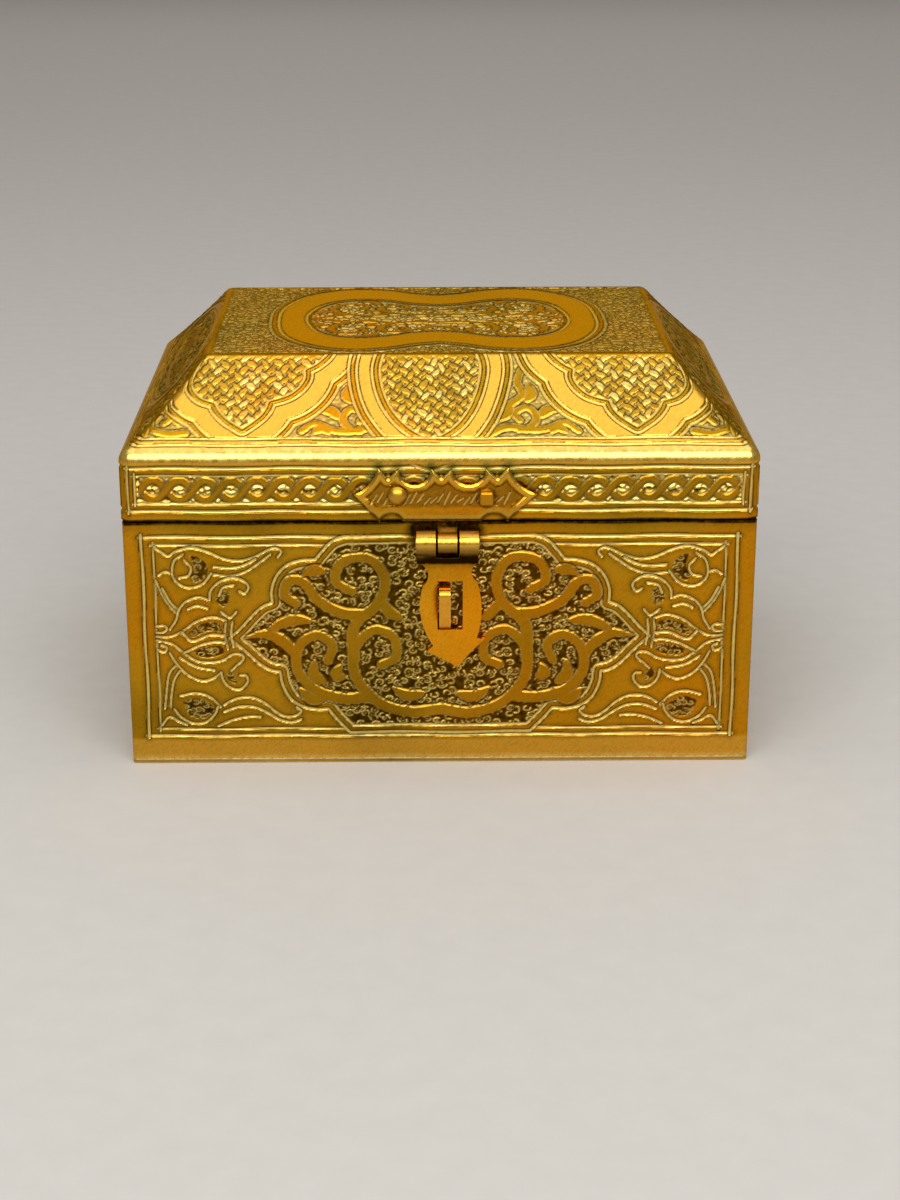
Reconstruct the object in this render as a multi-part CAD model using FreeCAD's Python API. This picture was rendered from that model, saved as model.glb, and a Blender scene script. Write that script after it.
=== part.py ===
"""Small engraved brass casket: a rectangular sheet-metal box with a hipped lid.

Millimetres. +Z is up, the front (with the hasp) faces -Y and +X is to the
viewer's right. The origin is the centre of the underside of the base plate.
Hasp and hinge pieces are drawn on the front wall; a place there is given as
(along, out, height), where out is the distance in front of the body's wall.
The hinges are then turned half round to the back.
"""
import FreeCAD
import Part
import math
import os
from FreeCAD import Vector

# Body: four sheet walls, mitred and soldered at the corners, on a base plate
body_width = 120.0
body_depth = 92.0
body_height = 49.2
wall_sheet = 1.0
base_sheet = 1.0
body_corner_radius = 0.9

# Lid: a top plate and four bent side panels, mitred and soldered at the hips
seam_gap = 0.4
lid_overhang = 0.3
rim_height = 12.4
lid_rise = 16.1
lid_inset = 15.7
lid_sheet = 1.0
lid_edge_radius = 2.6

# Rolled knuckles of the hasp and of the hinges
pin_clearance = 0.05
knuckle_end_gap = 0.15
knuckle_wall_gap = 0.3
knuckle_leaf_gap = 0.5
curl_slit = 0.2
pin_stick_out = 0.2

# Hasp plate, riveted to the front of the lid's rim
hasp_offset = 1.0
hasp_sheet = 1.2
hasp_plate_width = 34.4
hasp_plate_height = 10.6
hasp_pin_diameter = 2.4
hasp_pin_drop = 3.3
hasp_middle_knuckle = 3.6
hasp_tab_sheet = 0.7
hasp_knuckle_gap = 0.45
hasp_outer_knuckle = 3.6
hasp_barrel_shift = 0.35
hasp_rivet_spacing = 16.7
hasp_rivet_shift = -0.65
hasp_left_rivet_rise = 5.1
hasp_right_rivet_rise = 4.6
round_rivet_head = 3.6
round_rivet_head_height = 0.9
square_rivet_head = 2.8
square_rivet_head_height = 0.8
square_rivet_rounding = 0.6
hasp_rivet_shank = 1.8
hasp_rivet_tail = 2.8
hasp_rivet_tail_height = 0.5

# Right half of the plate's outline, from the notch in the middle of its top
# edge round to the middle of its lower edge: shares of half the width and of
# the height; a nested pair is an arc, through its first point to its second
hasp_plate_shares = [
    (0.0, 0.80),
    (0.115, 0.98),
    [(0.30, 0.67), (0.475, 0.98)],
    (0.595, 0.79),
    (0.71, 1.0),
    [(0.82, 0.69), (1.0, 0.50)],
    [(0.83, 0.23), (0.70, 0.0)],
    [(0.575, 0.15), (0.43, 0.02)],
    (0.0, 0.02),
]
# The plate was sawn by eye, so its middle lies a little to the left
hasp_plate_skew_share = -0.045

# Hasp tongue, hanging from the plate over the staple
tongue_width = 11.7
tongue_blade = 22.1
tongue_root_gap = 1.0
tongue_shift = 0.5
slot_width = 4.8
slot_height = 9.8
slot_drop = 4.6

# The tongue's outline is slightly uneven, as it was sawn by eye: shares of
# half the width and of the blade's length, down its right side to the tip
tongue_right_shares = [
    (0.93, 0.0),
    (0.92, 0.045),
    [(0.70, 0.125), (0.87, 0.21)],
    [(1.02, 0.42), (0.87, 0.73)],
    (1.13, 0.745),
    [(0.68, 0.86), (0.26, 1.0)],
]
# and back up its left side to the root
tongue_left_shares = [
    [(-0.30, 0.915), (-0.77, 0.855)],
    (-0.55, 0.80),
    [(-0.985, 0.44), (-0.88, 0.25)],
    [(-0.71, 0.16), (-0.92, 0.06)],
    (-0.93, 0.0),
]

# Staple: a bent strip, clenched inside the front wall
staple_offset = -1.0
staple_strip = 2.2
staple_sheet = 0.9
staple_height = 8.0
staple_reach = 4.4
staple_bend = 1.5
staple_foot = 2.0
staple_fit = 0.05

# Two hinges on the back, each with a leaf on the body and a leaf on the lid
hinge_inset = 24.0
hinge_sheet = 1.0
hinge_leaf_width = 25.0
hinge_leaf_height = 8.6
hinge_pin_diameter = 2.0
hinge_middle_knuckle = 5.0
hinge_outer_knuckle = 4.0
hinge_rivet_spacing = 12.0
hinge_rivet_rise = 3.7
hinge_rivet_head = 3.0
hinge_rivet_head_height = 0.7
hinge_rivet_shank = 1.5
hinge_rivet_tail = 2.3
hinge_rivet_tail_height = 0.4
rivet_fit = 0.05

# Right half of a hinge leaf's outline, from the far edge to the knuckle edge
hinge_leaf_shares = [
    (0.0, 1.0),
    [(0.18, 0.76), (0.36, 0.94)],
    (0.50, 0.76),
    (0.64, 0.94),
    [(0.78, 0.58), (1.0, 0.42)],
    [(0.86, 0.17), (0.80, 0.0)],
    (0.0, 0.0),
]

# How far every cutting tool runs past what it cuts
overrun = 5.0
# How closely a rounded form follows the exact one
offset_tolerance = 0.0001
# How far the mitre wedges reach in from the outside, as a share of the
# smaller plan size
mitre_reach_share = 0.45

half_width = body_width / 2
half_depth = body_depth / 2
lid_bottom = body_height + seam_gap
shoulder_height = lid_bottom + rim_height
lid_top_height = shoulder_height + lid_rise
slope_angle = math.atan2(lid_rise, lid_inset)
lid_half_width = half_width + lid_overhang
lid_half_depth = half_depth + lid_overhang
hinge_axis_height = body_height + seam_gap / 2


def polygon_face(points):
    """A flat face with the given corners."""
    return Part.Face(Part.makePolygon(points + points[:1]))


def plan_prism(corners, low, high):
    """An upright prism over corners given as (x, y)."""
    base = polygon_face([Vector(x, y, low) for x, y in corners])
    return base.extrude(Vector(0, 0, high - low))


def rectangle(half_x, half_y, height):
    """The four corners of a level rectangle round the Z axis."""
    return [
        Vector(-half_x, -half_y, height),
        Vector(half_x, -half_y, height),
        Vector(half_x, half_y, height),
        Vector(-half_x, half_y, height),
    ]


def stacked_solid(rings):
    """The closed solid through level rings of four corners, from bottom to top."""
    faces = [polygon_face(rings[0][::-1]), polygon_face(rings[-1])]
    for lower, upper in zip(rings, rings[1:]):
        for i in range(len(lower)):
            j = (i + 1) % len(lower)
            faces.append(polygon_face([lower[i], lower[j], upper[j], upper[i]]))
    return Part.Solid(Part.Shell(faces))


def mitre_wedges(half_x, half_y, low, high):
    """Four upright wedges, split along 45 degree planes through the corners."""
    reach = mitre_reach_share * 2 * min(half_x, half_y)
    near_x = half_x - reach
    near_y = half_y - reach
    far_x = half_x + overrun
    far_y = half_y + overrun
    front = [(-far_x, -far_y), (far_x, -far_y), (near_x, -near_y), (-near_x, -near_y)]
    right = [(far_x, -far_y), (far_x, far_y), (near_x, near_y), (near_x, -near_y)]
    back = [(-x, -y) for x, y in front]
    left = [(-x, -y) for x, y in right]
    sides = {"front": front, "back": back, "left": left, "right": right}
    return {side: plan_prism(corners, low, high) for side, corners in sides.items()}


def upright_edges(shape):
    """The vertical straight edges of a shape."""
    return [e for e in shape.Edges if e.BoundBox.XLength + e.BoundBox.YLength < e.BoundBox.ZLength]


def body_block(low, high):
    """The body's outer form between two heights, with its rounded corners."""
    block = Part.makeBox(body_width, body_depth, high - low, Vector(-half_width, -half_depth, low))
    return block.makeFillet(body_corner_radius, upright_edges(block))


def body_walls():
    """The four walls, cut apart at the mitres."""
    inner_width = body_width - 2 * wall_sheet
    inner_depth = body_depth - 2 * wall_sheet
    corner = Vector(-inner_width / 2, -inner_depth / 2, -overrun)
    hollow = Part.makeBox(inner_width, inner_depth, body_height + 2 * overrun, corner)
    ring = body_block(base_sheet, body_height).cut(hollow)
    wedges = mitre_wedges(half_width, half_depth, -overrun, body_height + overrun)
    return {side: ring.common(wedge) for side, wedge in wedges.items()}


def lid_form(skin):
    """The lid's hipped form, its edges rounded by growing a sharp core outward by skin."""
    core_drop = lid_edge_radius * math.tan(math.pi / 4 - slope_angle / 2)
    core_shrink = lid_inset + lid_edge_radius * math.tan(slope_angle / 2)
    side_x = lid_half_width - lid_edge_radius
    side_y = lid_half_depth - lid_edge_radius
    core = stacked_solid(
        [
            rectangle(side_x, side_y, lid_bottom - overrun),
            rectangle(side_x, side_y, shoulder_height - core_drop),
            rectangle(
                lid_half_width - core_shrink, lid_half_depth - core_shrink, lid_top_height - lid_edge_radius
            ),
        ]
    )
    return core.makeOffsetShape(skin, offset_tolerance)


def lid_top_wedge():
    """The region above the planes that halve the angle along the lid's top edges."""
    spread = math.tan(slope_angle / 2)
    low = lid_top_height - lid_edge_radius - lid_sheet
    high = lid_top_height + overrun
    rings = []
    for height in (low, high):
        out = (height - lid_top_height) * spread - lid_inset
        rings.append(rectangle(lid_half_width + out, lid_half_depth + out, height))
    return stacked_solid(rings)


def lid_panels():
    """The lid's top plate and its four bent side panels."""
    shell = lid_form(lid_edge_radius).cut(lid_form(lid_edge_radius - lid_sheet))
    below_rim = rectangle(lid_half_width + overrun, lid_half_depth + overrun, lid_bottom)
    shell = shell.cut(polygon_face(below_rim).extrude(Vector(0, 0, -lid_bottom)))
    top_wedge = lid_top_wedge()
    skirt = shell.cut(top_wedge)
    wedges = mitre_wedges(lid_half_width, lid_half_depth, lid_bottom - overrun, lid_top_height + overrun)
    panels = {side: skirt.common(wedge) for side, wedge in wedges.items()}
    panels["top"] = shell.common(top_wedge)
    return panels


def front_point(along, out, height):
    """A point in front of the body's front wall."""
    return Vector(along, -half_depth - out, height)


def front_block(along, length, out, depth, height, rise):
    """A block in front of the wall, from its left, innermost and lowest corner."""
    return Part.makeBox(length, depth, rise, front_point(along, out + depth, height))


def front_cylinder(radius, along, height, out_low, out_high):
    """A cylinder square to the front wall."""
    foot = front_point(along, out_low, height)
    return Part.makeCylinder(radius, out_high - out_low, foot, Vector(0, -1, 0))


def cross_bar(radius, along_low, along_high, out, height):
    """A cylinder along the front wall."""
    end = front_point(along_low, out, height)
    return Part.makeCylinder(radius, along_high - along_low, end, Vector(1, 0, 0))


def path_edges(shares, place):
    """Lines and arcs through a list of shares, mapped to points by place."""
    edges = []
    last = place(*shares[0])
    for step in shares[1:]:
        if isinstance(step, list):
            through, end = [place(*share) for share in step]
            edges.append(Part.Arc(last, through, end).toShape())
        else:
            end = place(*step)
            edges.append(Part.LineSegment(last, end).toShape())
        last = end
    return edges


def plate_from(edges, sheet):
    """A plate of the given thickness in front of a closed outline."""
    outline = Part.Wire(Part.__sortEdges__(edges))
    return Part.Face(outline).extrude(Vector(0, -sheet, 0))


def two_sided_plate(shares, skew_share, centre, width, height, out, edge_height, rise, sheet):
    """A plate whose outline repeats to the left and right, its middle shifted by a skew."""

    def right(u, v):
        along = centre + (u + skew_share * (1 - u * u)) * width / 2
        return front_point(along, out, edge_height + rise * v * height)

    def left(u, v):
        return right(-u, v)

    return plate_from(path_edges(shares, right) + path_edges(shares, left), sheet)


def rolled_knuckle(along, length, leaf_out, leaf_edge, axis_out, axis_height, hole_radius, sheet):
    """A strip that leaves its leaf's edge and rolls forward round the pin."""
    rise = 1 if leaf_edge > axis_height else -1
    outer_radius = hole_radius + sheet
    end_angle = math.acos((hole_radius - curl_slit) / outer_radius) - 2 * math.pi

    def rim(radius, angle):
        out = axis_out - radius * math.cos(angle)
        return front_point(along, out, axis_height + rise * radius * math.sin(angle))

    lapped_edge = leaf_edge + rise * sheet
    corners = [
        rim(hole_radius, 0),
        front_point(along, leaf_out + sheet, leaf_edge),
        front_point(along, leaf_out + sheet, lapped_edge),
        front_point(along, leaf_out, lapped_edge),
        front_point(along, leaf_out, leaf_edge),
        rim(outer_radius, 0),
    ]
    edges = [Part.LineSegment(a, b).toShape() for a, b in zip(corners, corners[1:])]
    for radius in (hole_radius, outer_radius):
        arc = Part.Arc(rim(radius, 0), rim(radius, end_angle / 2), rim(radius, end_angle))
        edges.append(arc.toShape())
    edges.append(Part.LineSegment(rim(hole_radius, end_angle), rim(outer_radius, end_angle)).toShape())
    profile = Part.Face(Part.Wire(Part.__sortEdges__(edges)))
    return profile.extrude(Vector(length, 0, 0))


def outer_knuckle_starts(centre, middle, outer, end_gap):
    """Where the two outer knuckles of a set of three begin."""
    reach = middle / 2 + end_gap
    return [centre - reach - outer, centre + reach]


def round_rivet(along, height, out, grip, head, head_height, shank, tail, tail_height):
    """A rivet with a domed head standing at out and its flat tail behind the grip."""

    def profile_point(radius, distance):
        return front_point(along + radius, out + distance, height)

    corners = [
        profile_point(head / 2, 0),
        profile_point(shank / 2, 0),
        profile_point(shank / 2, -grip),
        profile_point(tail / 2, -grip),
        profile_point(tail / 2, -grip - tail_height),
        profile_point(0, -grip - tail_height),
        profile_point(0, head_height),
    ]
    edges = [Part.LineSegment(a, b).toShape() for a, b in zip(corners, corners[1:])]
    cap_radius = ((head / 2) ** 2 + head_height**2) / (2 * head_height)
    half_angle = math.asin(head / 2 / cap_radius) / 2
    crown = profile_point(
        cap_radius * math.sin(half_angle), head_height - cap_radius * (1 - math.cos(half_angle))
    )
    edges.append(Part.Arc(corners[-1], crown, corners[0]).toShape())
    face = Part.Face(Part.Wire(Part.__sortEdges__(edges)))
    return face.revolve(front_point(along, out, height), Vector(0, 1, 0), 360)


def square_rivet(along, height, out, grip):
    """The hasp's other rivet, whose head was hammered square."""
    half_head = square_rivet_head / 2
    head = front_block(
        along - half_head,
        square_rivet_head,
        out,
        square_rivet_head_height,
        height - half_head,
        square_rivet_head,
    )
    outer_face = -half_depth - out - square_rivet_head_height
    front_edges = [e for e in head.Edges if e.BoundBox.YMin < outer_face + square_rivet_head_height / 2]
    head = head.makeFillet(square_rivet_rounding, front_edges)
    shank = front_cylinder(hasp_rivet_shank / 2, along, height, out - grip, out)
    tail = front_cylinder(hasp_rivet_tail / 2, along, height, out - grip - hasp_rivet_tail_height, out - grip)
    return head.fuse([shank, tail]).removeSplitter()


def to_back(shape):
    """The shape, turned half round from the front wall to the back wall."""
    turned = shape.copy()
    turned.rotate(Vector(0, 0, 0), Vector(0, 0, 1), 180)
    return turned


# Places that the hasp's pieces share
hasp_axis_height = body_height - hasp_pin_drop
hasp_hole_radius = hasp_pin_diameter / 2 + pin_clearance
hasp_axis_out = lid_overhang + hasp_sheet + hasp_hole_radius
hasp_barrel_centre = hasp_offset + hasp_barrel_shift
hasp_rivet_middle = hasp_offset + hasp_rivet_shift
hasp_rivet_places = [
    (hasp_rivet_middle - hasp_rivet_spacing / 2, lid_bottom + hasp_left_rivet_rise),
    (hasp_rivet_middle + hasp_rivet_spacing / 2, lid_bottom + hasp_right_rivet_rise),
]
hasp_half_barrel = hasp_middle_knuckle / 2 + hasp_knuckle_gap + hasp_outer_knuckle
tongue_centre = hasp_barrel_centre + tongue_shift
tongue_root = hasp_axis_height - hasp_hole_radius - hasp_sheet - tongue_root_gap
slot_bottom = tongue_root - slot_drop - slot_height
staple_bottom = slot_bottom + (slot_height - staple_height) / 2
staple_left = tongue_centre + staple_offset - staple_strip / 2

# Places that the hinges' pieces share
hinge_hole_radius = hinge_pin_diameter / 2 + pin_clearance
hinge_axis_out = lid_overhang + knuckle_wall_gap + hinge_sheet + hinge_hole_radius
hinge_edge_gap = hinge_hole_radius + hinge_sheet + knuckle_leaf_gap
hinge_half_barrel = hinge_middle_knuckle / 2 + knuckle_end_gap + hinge_outer_knuckle
hinge_centres = {"left": half_width - hinge_inset, "right": hinge_inset - half_width}


def hasp_plate():
    """The scalloped plate on the rim, with the slimmer middle knuckle rolled from its thin tab."""
    plate = two_sided_plate(
        hasp_plate_shares,
        hasp_plate_skew_share,
        hasp_offset,
        hasp_plate_width,
        hasp_plate_height,
        lid_overhang,
        lid_bottom,
        1,
        hasp_sheet,
    )
    lower_edge = lid_bottom + hasp_plate_shares[-1][1] * hasp_plate_height
    knuckle = rolled_knuckle(
        hasp_barrel_centre - hasp_middle_knuckle / 2,
        hasp_middle_knuckle,
        lid_overhang,
        lower_edge,
        hasp_axis_out,
        hasp_axis_height,
        hasp_hole_radius,
        hasp_tab_sheet,
    )
    plate = plate.fuse(knuckle).removeSplitter()
    for along, height in hasp_rivet_places:
        plate = plate.cut(rivet_hole(along, height, hasp_rivet_shank))
    return plate


def rivet_hole(along, height, shank):
    """The drilling for a rivet's shank."""
    return front_cylinder(shank / 2 + rivet_fit, along, height, -overrun, overrun)


def hasp_tongue():
    """The swinging tongue: a slotted blade with two rolled knuckles at its root."""

    def place(u, v):
        return front_point(tongue_centre + u * tongue_width / 2, lid_overhang, tongue_root - v * tongue_blade)

    root = [Part.LineSegment(place(*tongue_left_shares[-1]), place(*tongue_right_shares[0])).toShape()]
    left_side = path_edges([tongue_right_shares[-1][1]] + tongue_left_shares, place)
    blade = plate_from(root + path_edges(tongue_right_shares, place) + left_side, hasp_sheet)
    slot = front_block(
        tongue_centre - slot_width / 2, slot_width, -overrun, 2 * overrun, slot_bottom, slot_height
    )
    blade = blade.cut(slot)
    starts = outer_knuckle_starts(
        hasp_barrel_centre, hasp_middle_knuckle, hasp_outer_knuckle, hasp_knuckle_gap
    )
    for along in starts:
        knuckle = rolled_knuckle(
            along,
            hasp_outer_knuckle,
            lid_overhang,
            tongue_root,
            hasp_axis_out,
            hasp_axis_height,
            hasp_hole_radius,
            hasp_sheet,
        )
        blade = blade.fuse(knuckle)
    return blade.removeSplitter()


def hasp_pin():
    """The pin through the hasp's three knuckles."""
    reach = hasp_half_barrel + pin_stick_out
    return cross_bar(
        hasp_pin_diameter / 2,
        hasp_barrel_centre - reach,
        hasp_barrel_centre + reach,
        hasp_axis_out,
        hasp_axis_height,
    )


def bend_edges(block):
    """The two edges along X of a block's face in front of the wall."""
    ahead = [e for e in block.Edges if e.BoundBox.YMax < -half_depth]
    return [e for e in ahead if e.BoundBox.XLength > e.BoundBox.ZLength]


def staple_strip_solid():
    """The staple: two legs through the wall, a bar in front and feet clenched inside."""
    inner_face = -wall_sheet - staple_sheet
    loop = front_block(
        staple_left, staple_strip, inner_face, staple_reach - inner_face, staple_bottom, staple_height
    )
    loop = loop.makeFillet(staple_bend, bend_edges(loop))
    eye = front_block(
        staple_left - overrun,
        staple_strip + 2 * overrun,
        inner_face - overrun,
        staple_reach - staple_sheet - inner_face + overrun,
        staple_bottom + staple_sheet,
        staple_height - 2 * staple_sheet,
    )
    eye = eye.makeFillet(staple_bend - staple_sheet, bend_edges(eye))
    feet = [
        front_block(staple_left, staple_strip, inner_face, staple_sheet, low, staple_foot + staple_sheet)
        for low in (staple_bottom - staple_foot, staple_bottom + staple_height - staple_sheet)
    ]
    return loop.cut(eye).fuse(feet).removeSplitter()


def staple_leg_holes():
    """The two slits in the front wall that the staple's legs pass through."""
    holes = []
    for low in (staple_bottom, staple_bottom + staple_height - staple_sheet):
        holes.append(
            front_block(
                staple_left - staple_fit,
                staple_strip + 2 * staple_fit,
                -overrun,
                2 * overrun,
                low - staple_fit,
                staple_sheet + 2 * staple_fit,
            )
        )
    return holes


def hinge_leaf(centre, on_lid):
    """One leaf: on the lid with the middle knuckle, or on the body with the outer two."""
    rise = 1 if on_lid else -1
    leaf_out = lid_overhang if on_lid else 0.0
    edge_height = hinge_axis_height + rise * hinge_edge_gap
    leaf = two_sided_plate(
        hinge_leaf_shares,
        0,
        centre,
        hinge_leaf_width,
        hinge_leaf_height,
        leaf_out,
        edge_height,
        rise,
        hinge_sheet,
    )
    length = hinge_middle_knuckle if on_lid else hinge_outer_knuckle
    starts = outer_knuckle_starts(centre, hinge_middle_knuckle, hinge_outer_knuckle, knuckle_end_gap)
    if on_lid:
        starts = [centre - hinge_middle_knuckle / 2]
    for along in starts:
        leaf = leaf.fuse(
            rolled_knuckle(
                along,
                length,
                leaf_out,
                edge_height,
                hinge_axis_out,
                hinge_axis_height,
                hinge_hole_radius,
                hinge_sheet,
            )
        )
    leaf = leaf.removeSplitter()
    for along, height in hinge_rivet_places(centre, on_lid):
        leaf = leaf.cut(rivet_hole(along, height, hinge_rivet_shank))
    return leaf


def hinge_rivet_places(centre, on_lid):
    """The two rivets of a leaf, as (along, height)."""
    rise = 1 if on_lid else -1
    height = hinge_axis_height + rise * (hinge_edge_gap + hinge_rivet_rise)
    return [(centre + side * hinge_rivet_spacing / 2, height) for side in (-1, 1)]


def hinge_rivets(centre, on_lid):
    """The rivets that hold a leaf to the body or to the lid."""
    leaf_out = lid_overhang if on_lid else 0.0
    sheet = lid_sheet if on_lid else wall_sheet
    rivets = [
        round_rivet(
            along,
            height,
            leaf_out + hinge_sheet,
            hinge_sheet + sheet,
            hinge_rivet_head,
            hinge_rivet_head_height,
            hinge_rivet_shank,
            hinge_rivet_tail,
            hinge_rivet_tail_height,
        )
        for along, height in hinge_rivet_places(centre, on_lid)
    ]
    return Part.makeCompound(rivets)


def hinge_pin(centre):
    """The pin through a hinge's three knuckles."""
    reach = hinge_half_barrel + pin_stick_out
    radius = hinge_pin_diameter / 2
    return cross_bar(radius, centre - reach, centre + reach, hinge_axis_out, hinge_axis_height)


def drill_back(panel, on_lid, shank):
    """A back panel with the holes for both hinges' rivets."""
    for centre in hinge_centres.values():
        for along, height in hinge_rivet_places(centre, on_lid):
            panel = panel.cut(to_back(rivet_hole(along, height, shank)))
    return panel


def build():
    """Every piece of the casket, by name."""
    pieces = {"base_plate": body_block(0, base_sheet)}

    walls = body_walls()
    walls["front"] = walls["front"].cut(staple_leg_holes())
    walls["back"] = drill_back(walls["back"], False, hinge_rivet_shank)
    for side, wall in walls.items():
        pieces[side + "_wall"] = wall

    panels = lid_panels()
    for along, height in hasp_rivet_places:
        hole = rivet_hole(along, height, hasp_rivet_shank)
        panels["front"] = panels["front"].cut(hole)
    panels["back"] = drill_back(panels["back"], True, hinge_rivet_shank)
    for side, panel in panels.items():
        pieces["lid_" + side] = panel

    hasp_grip = hasp_sheet + lid_sheet
    rivet_out = lid_overhang + hasp_sheet
    pieces["hasp_plate"] = hasp_plate()
    pieces["hasp_left_rivet"] = round_rivet(
        *hasp_rivet_places[0],
        rivet_out,
        hasp_grip,
        round_rivet_head,
        round_rivet_head_height,
        hasp_rivet_shank,
        hasp_rivet_tail,
        hasp_rivet_tail_height,
    )
    pieces["hasp_right_rivet"] = square_rivet(*hasp_rivet_places[1], rivet_out, hasp_grip)
    pieces["hasp_pin"] = hasp_pin()
    pieces["hasp_tongue"] = hasp_tongue()
    pieces["staple"] = staple_strip_solid()

    for side, centre in hinge_centres.items():
        pieces[side + "_hinge_pin"] = to_back(hinge_pin(centre))
        for on_lid, owner in ((False, "body"), (True, "lid")):
            pieces[f"{side}_hinge_{owner}_leaf"] = to_back(hinge_leaf(centre, on_lid))
            pieces[f"{side}_hinge_{owner}_rivets"] = to_back(hinge_rivets(centre, on_lid))
    return pieces


os.makedirs("parts", exist_ok=True)
for name, shape in build().items():
    shape.exportStep(f"parts/{name}.step")
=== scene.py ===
"""Looks of a small engraved brass casket with a hipped lid and a hasp.

Sizes are millimetres, and go to metres once, where a mesh is made. +Z is up,
the front faces -Y and +X is to the viewer's right.
"""
import math
import bmesh
import bpy
import numpy as np
from mathutils import Matrix, Vector


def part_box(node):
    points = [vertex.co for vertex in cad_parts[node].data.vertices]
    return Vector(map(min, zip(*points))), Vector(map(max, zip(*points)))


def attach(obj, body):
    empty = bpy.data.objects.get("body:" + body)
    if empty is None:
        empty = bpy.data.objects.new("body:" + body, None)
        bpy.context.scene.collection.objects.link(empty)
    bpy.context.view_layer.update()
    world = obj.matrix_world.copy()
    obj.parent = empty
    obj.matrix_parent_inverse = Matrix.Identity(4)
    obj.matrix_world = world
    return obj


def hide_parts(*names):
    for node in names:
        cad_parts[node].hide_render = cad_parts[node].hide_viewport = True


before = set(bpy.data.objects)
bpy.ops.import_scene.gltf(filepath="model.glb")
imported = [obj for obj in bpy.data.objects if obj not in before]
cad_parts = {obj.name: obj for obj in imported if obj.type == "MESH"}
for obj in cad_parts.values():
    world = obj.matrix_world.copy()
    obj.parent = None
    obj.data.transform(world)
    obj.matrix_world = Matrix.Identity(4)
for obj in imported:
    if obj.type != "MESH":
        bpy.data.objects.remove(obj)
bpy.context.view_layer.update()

MM = 0.001

# Sizes of the casket, as its solids have them
half_width = 60.0
half_depth = 46.0
body_height = 49.2
base_sheet = 1.0
wall_sheet = 1.0
body_corner_radius = 0.9
lid_bottom = 49.6
lid_half_width = 60.3
lid_half_depth = 46.3
rim_height = 12.4
lid_rise = 16.1
lid_inset = 15.7
lid_sheet = 1.0
lid_round = 2.6
shoulder_round = 3.2
hip_round = 6.0
shoulder_height = lid_bottom + rim_height
lid_top_height = shoulder_height + lid_rise
slope_angle = math.atan2(lid_rise, lid_inset)
lean = math.pi / 2 - slope_angle
shoulder_drop = shoulder_round * math.tan(lean / 2)
crown_shrink = lid_inset + lid_round * math.tan(slope_angle / 2)
rim_flat = rim_height - shoulder_drop
shoulder_arc = shoulder_round * lean
shoulder_core = shoulder_round - lid_round
slope_rise = rim_height + lid_rise - lid_round - rim_flat - shoulder_core * math.sin(lean)
slope_run = crown_shrink - lid_round - shoulder_core * (1 - math.cos(lean))
slope_flat = math.hypot(slope_rise, slope_run)
crown_arc = lid_round * slope_angle / 2
skirt_length = rim_flat + shoulder_arc + slope_flat + crown_arc
# Where the sharp edge of the shoulder would be, along the bent sheet
slope_start = rim_flat + shoulder_arc - shoulder_drop
# How far up a face that leans at half the slope's angle goes for one step out
crown_steep = 1 / math.tan(slope_angle / 2)
# How far from a cut the dirt beside it reaches
dirt_reach = 1.3


# Lines and distances of the engraving

def smooth(points, steps=6):
    """A smooth line through given points."""
    p = np.array(points, float)
    q = np.vstack([2 * p[:1] - p[1:2], p, 2 * p[-1:] - p[-2:-1]])
    t = np.linspace(0, 1, steps, endpoint=False)[:, None]
    runs = []
    for a, b, c, d in zip(q, q[1:], q[2:], q[3:]):
        run = b + (c - a) * t / 2 + (2 * a - 5 * b + 4 * c - d) * t**2 / 2
        runs.append(run + (3 * b - a - 3 * c + d) * t**3 / 2)
    return np.vstack(runs + [p[-1:]])


def joined(runs):
    """One line from smooth runs that meet in cusps."""
    return np.vstack([smooth(run) for run in runs])


def arc(a, through, b, steps=10):
    """Part of a circle from one point through another to a third."""
    a, through, b = (complex(*point) for point in (a, through, b))
    w = (b - a) / (through - a)
    centre = (through - a) * (w - abs(w) ** 2) / (2j * w.imag) + a
    turn = [np.angle((point - centre) / (a - centre)) for point in (through, b)]
    if turn[0] * turn[1] < 0 or abs(turn[1]) < abs(turn[0]):
        turn[1] += math.copysign(2 * math.pi, turn[0])
    swept = centre + (a - centre) * np.exp(1j * np.linspace(0, turn[1], steps))
    return np.column_stack([swept.real, swept.imag])


def closed_over(line, middle=0.0):
    """A closed ring from its right half, mirrored to the other side of an upright middle."""
    return np.vstack([line, (line * [-1, 1] + [2 * middle, 0])[::-1]])


def mirrored_down(run):
    """A run of points that ends at height 0, and its mirror image below."""
    return run + [(x, -y) for x, y in run[-2::-1]]


def reach(line, x, y, far):
    """How far each place lies from a line, up to far, and where along the line that is."""
    gap = np.full(x.shape, float(far))
    along = np.zeros(x.shape)
    run = 0.0
    for a, b in zip(line, line[1:]):
        step = b - a
        length = math.hypot(*step)
        if length < 1e-9:
            continue
        low = np.minimum(a, b) - far
        high = np.maximum(a, b) + far
        near = np.nonzero((x > low[0]) & (x < high[0]) & (y > low[1]) & (y < high[1]))[0]
        dx = x[near] - a[0]
        dy = y[near] - a[1]
        share = np.clip((dx * step[0] + dy * step[1]) / length**2, 0, 1)
        away = np.hypot(dx - share * step[0], dy - share * step[1])
        nearer = away < gap[near]
        gap[near[nearer]] = away[nearer]
        along[near[nearer]] = run + share[nearer] * length
        run += length
    return gap, along


def within(ring, x, y):
    """Which places lie inside a closed ring."""
    inside = np.zeros(x.shape, bool)
    for a, b in zip(ring, np.roll(ring, -1, axis=0)):
        if a[1] != b[1]:
            crosses = (a[1] > y) != (b[1] > y)
            inside ^= crosses & (x < a[0] + (y - a[1]) * (b[0] - a[0]) / (b[1] - a[1]))
    return inside


def ring_gap(ring, x, y, far):
    """Distance from a ring, below zero inside it, and where along the ring that is."""
    gap, along = reach(np.vstack([ring, ring[:1]]), x, y, far)
    return np.where(within(ring, x, y), -gap, gap), along


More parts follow.
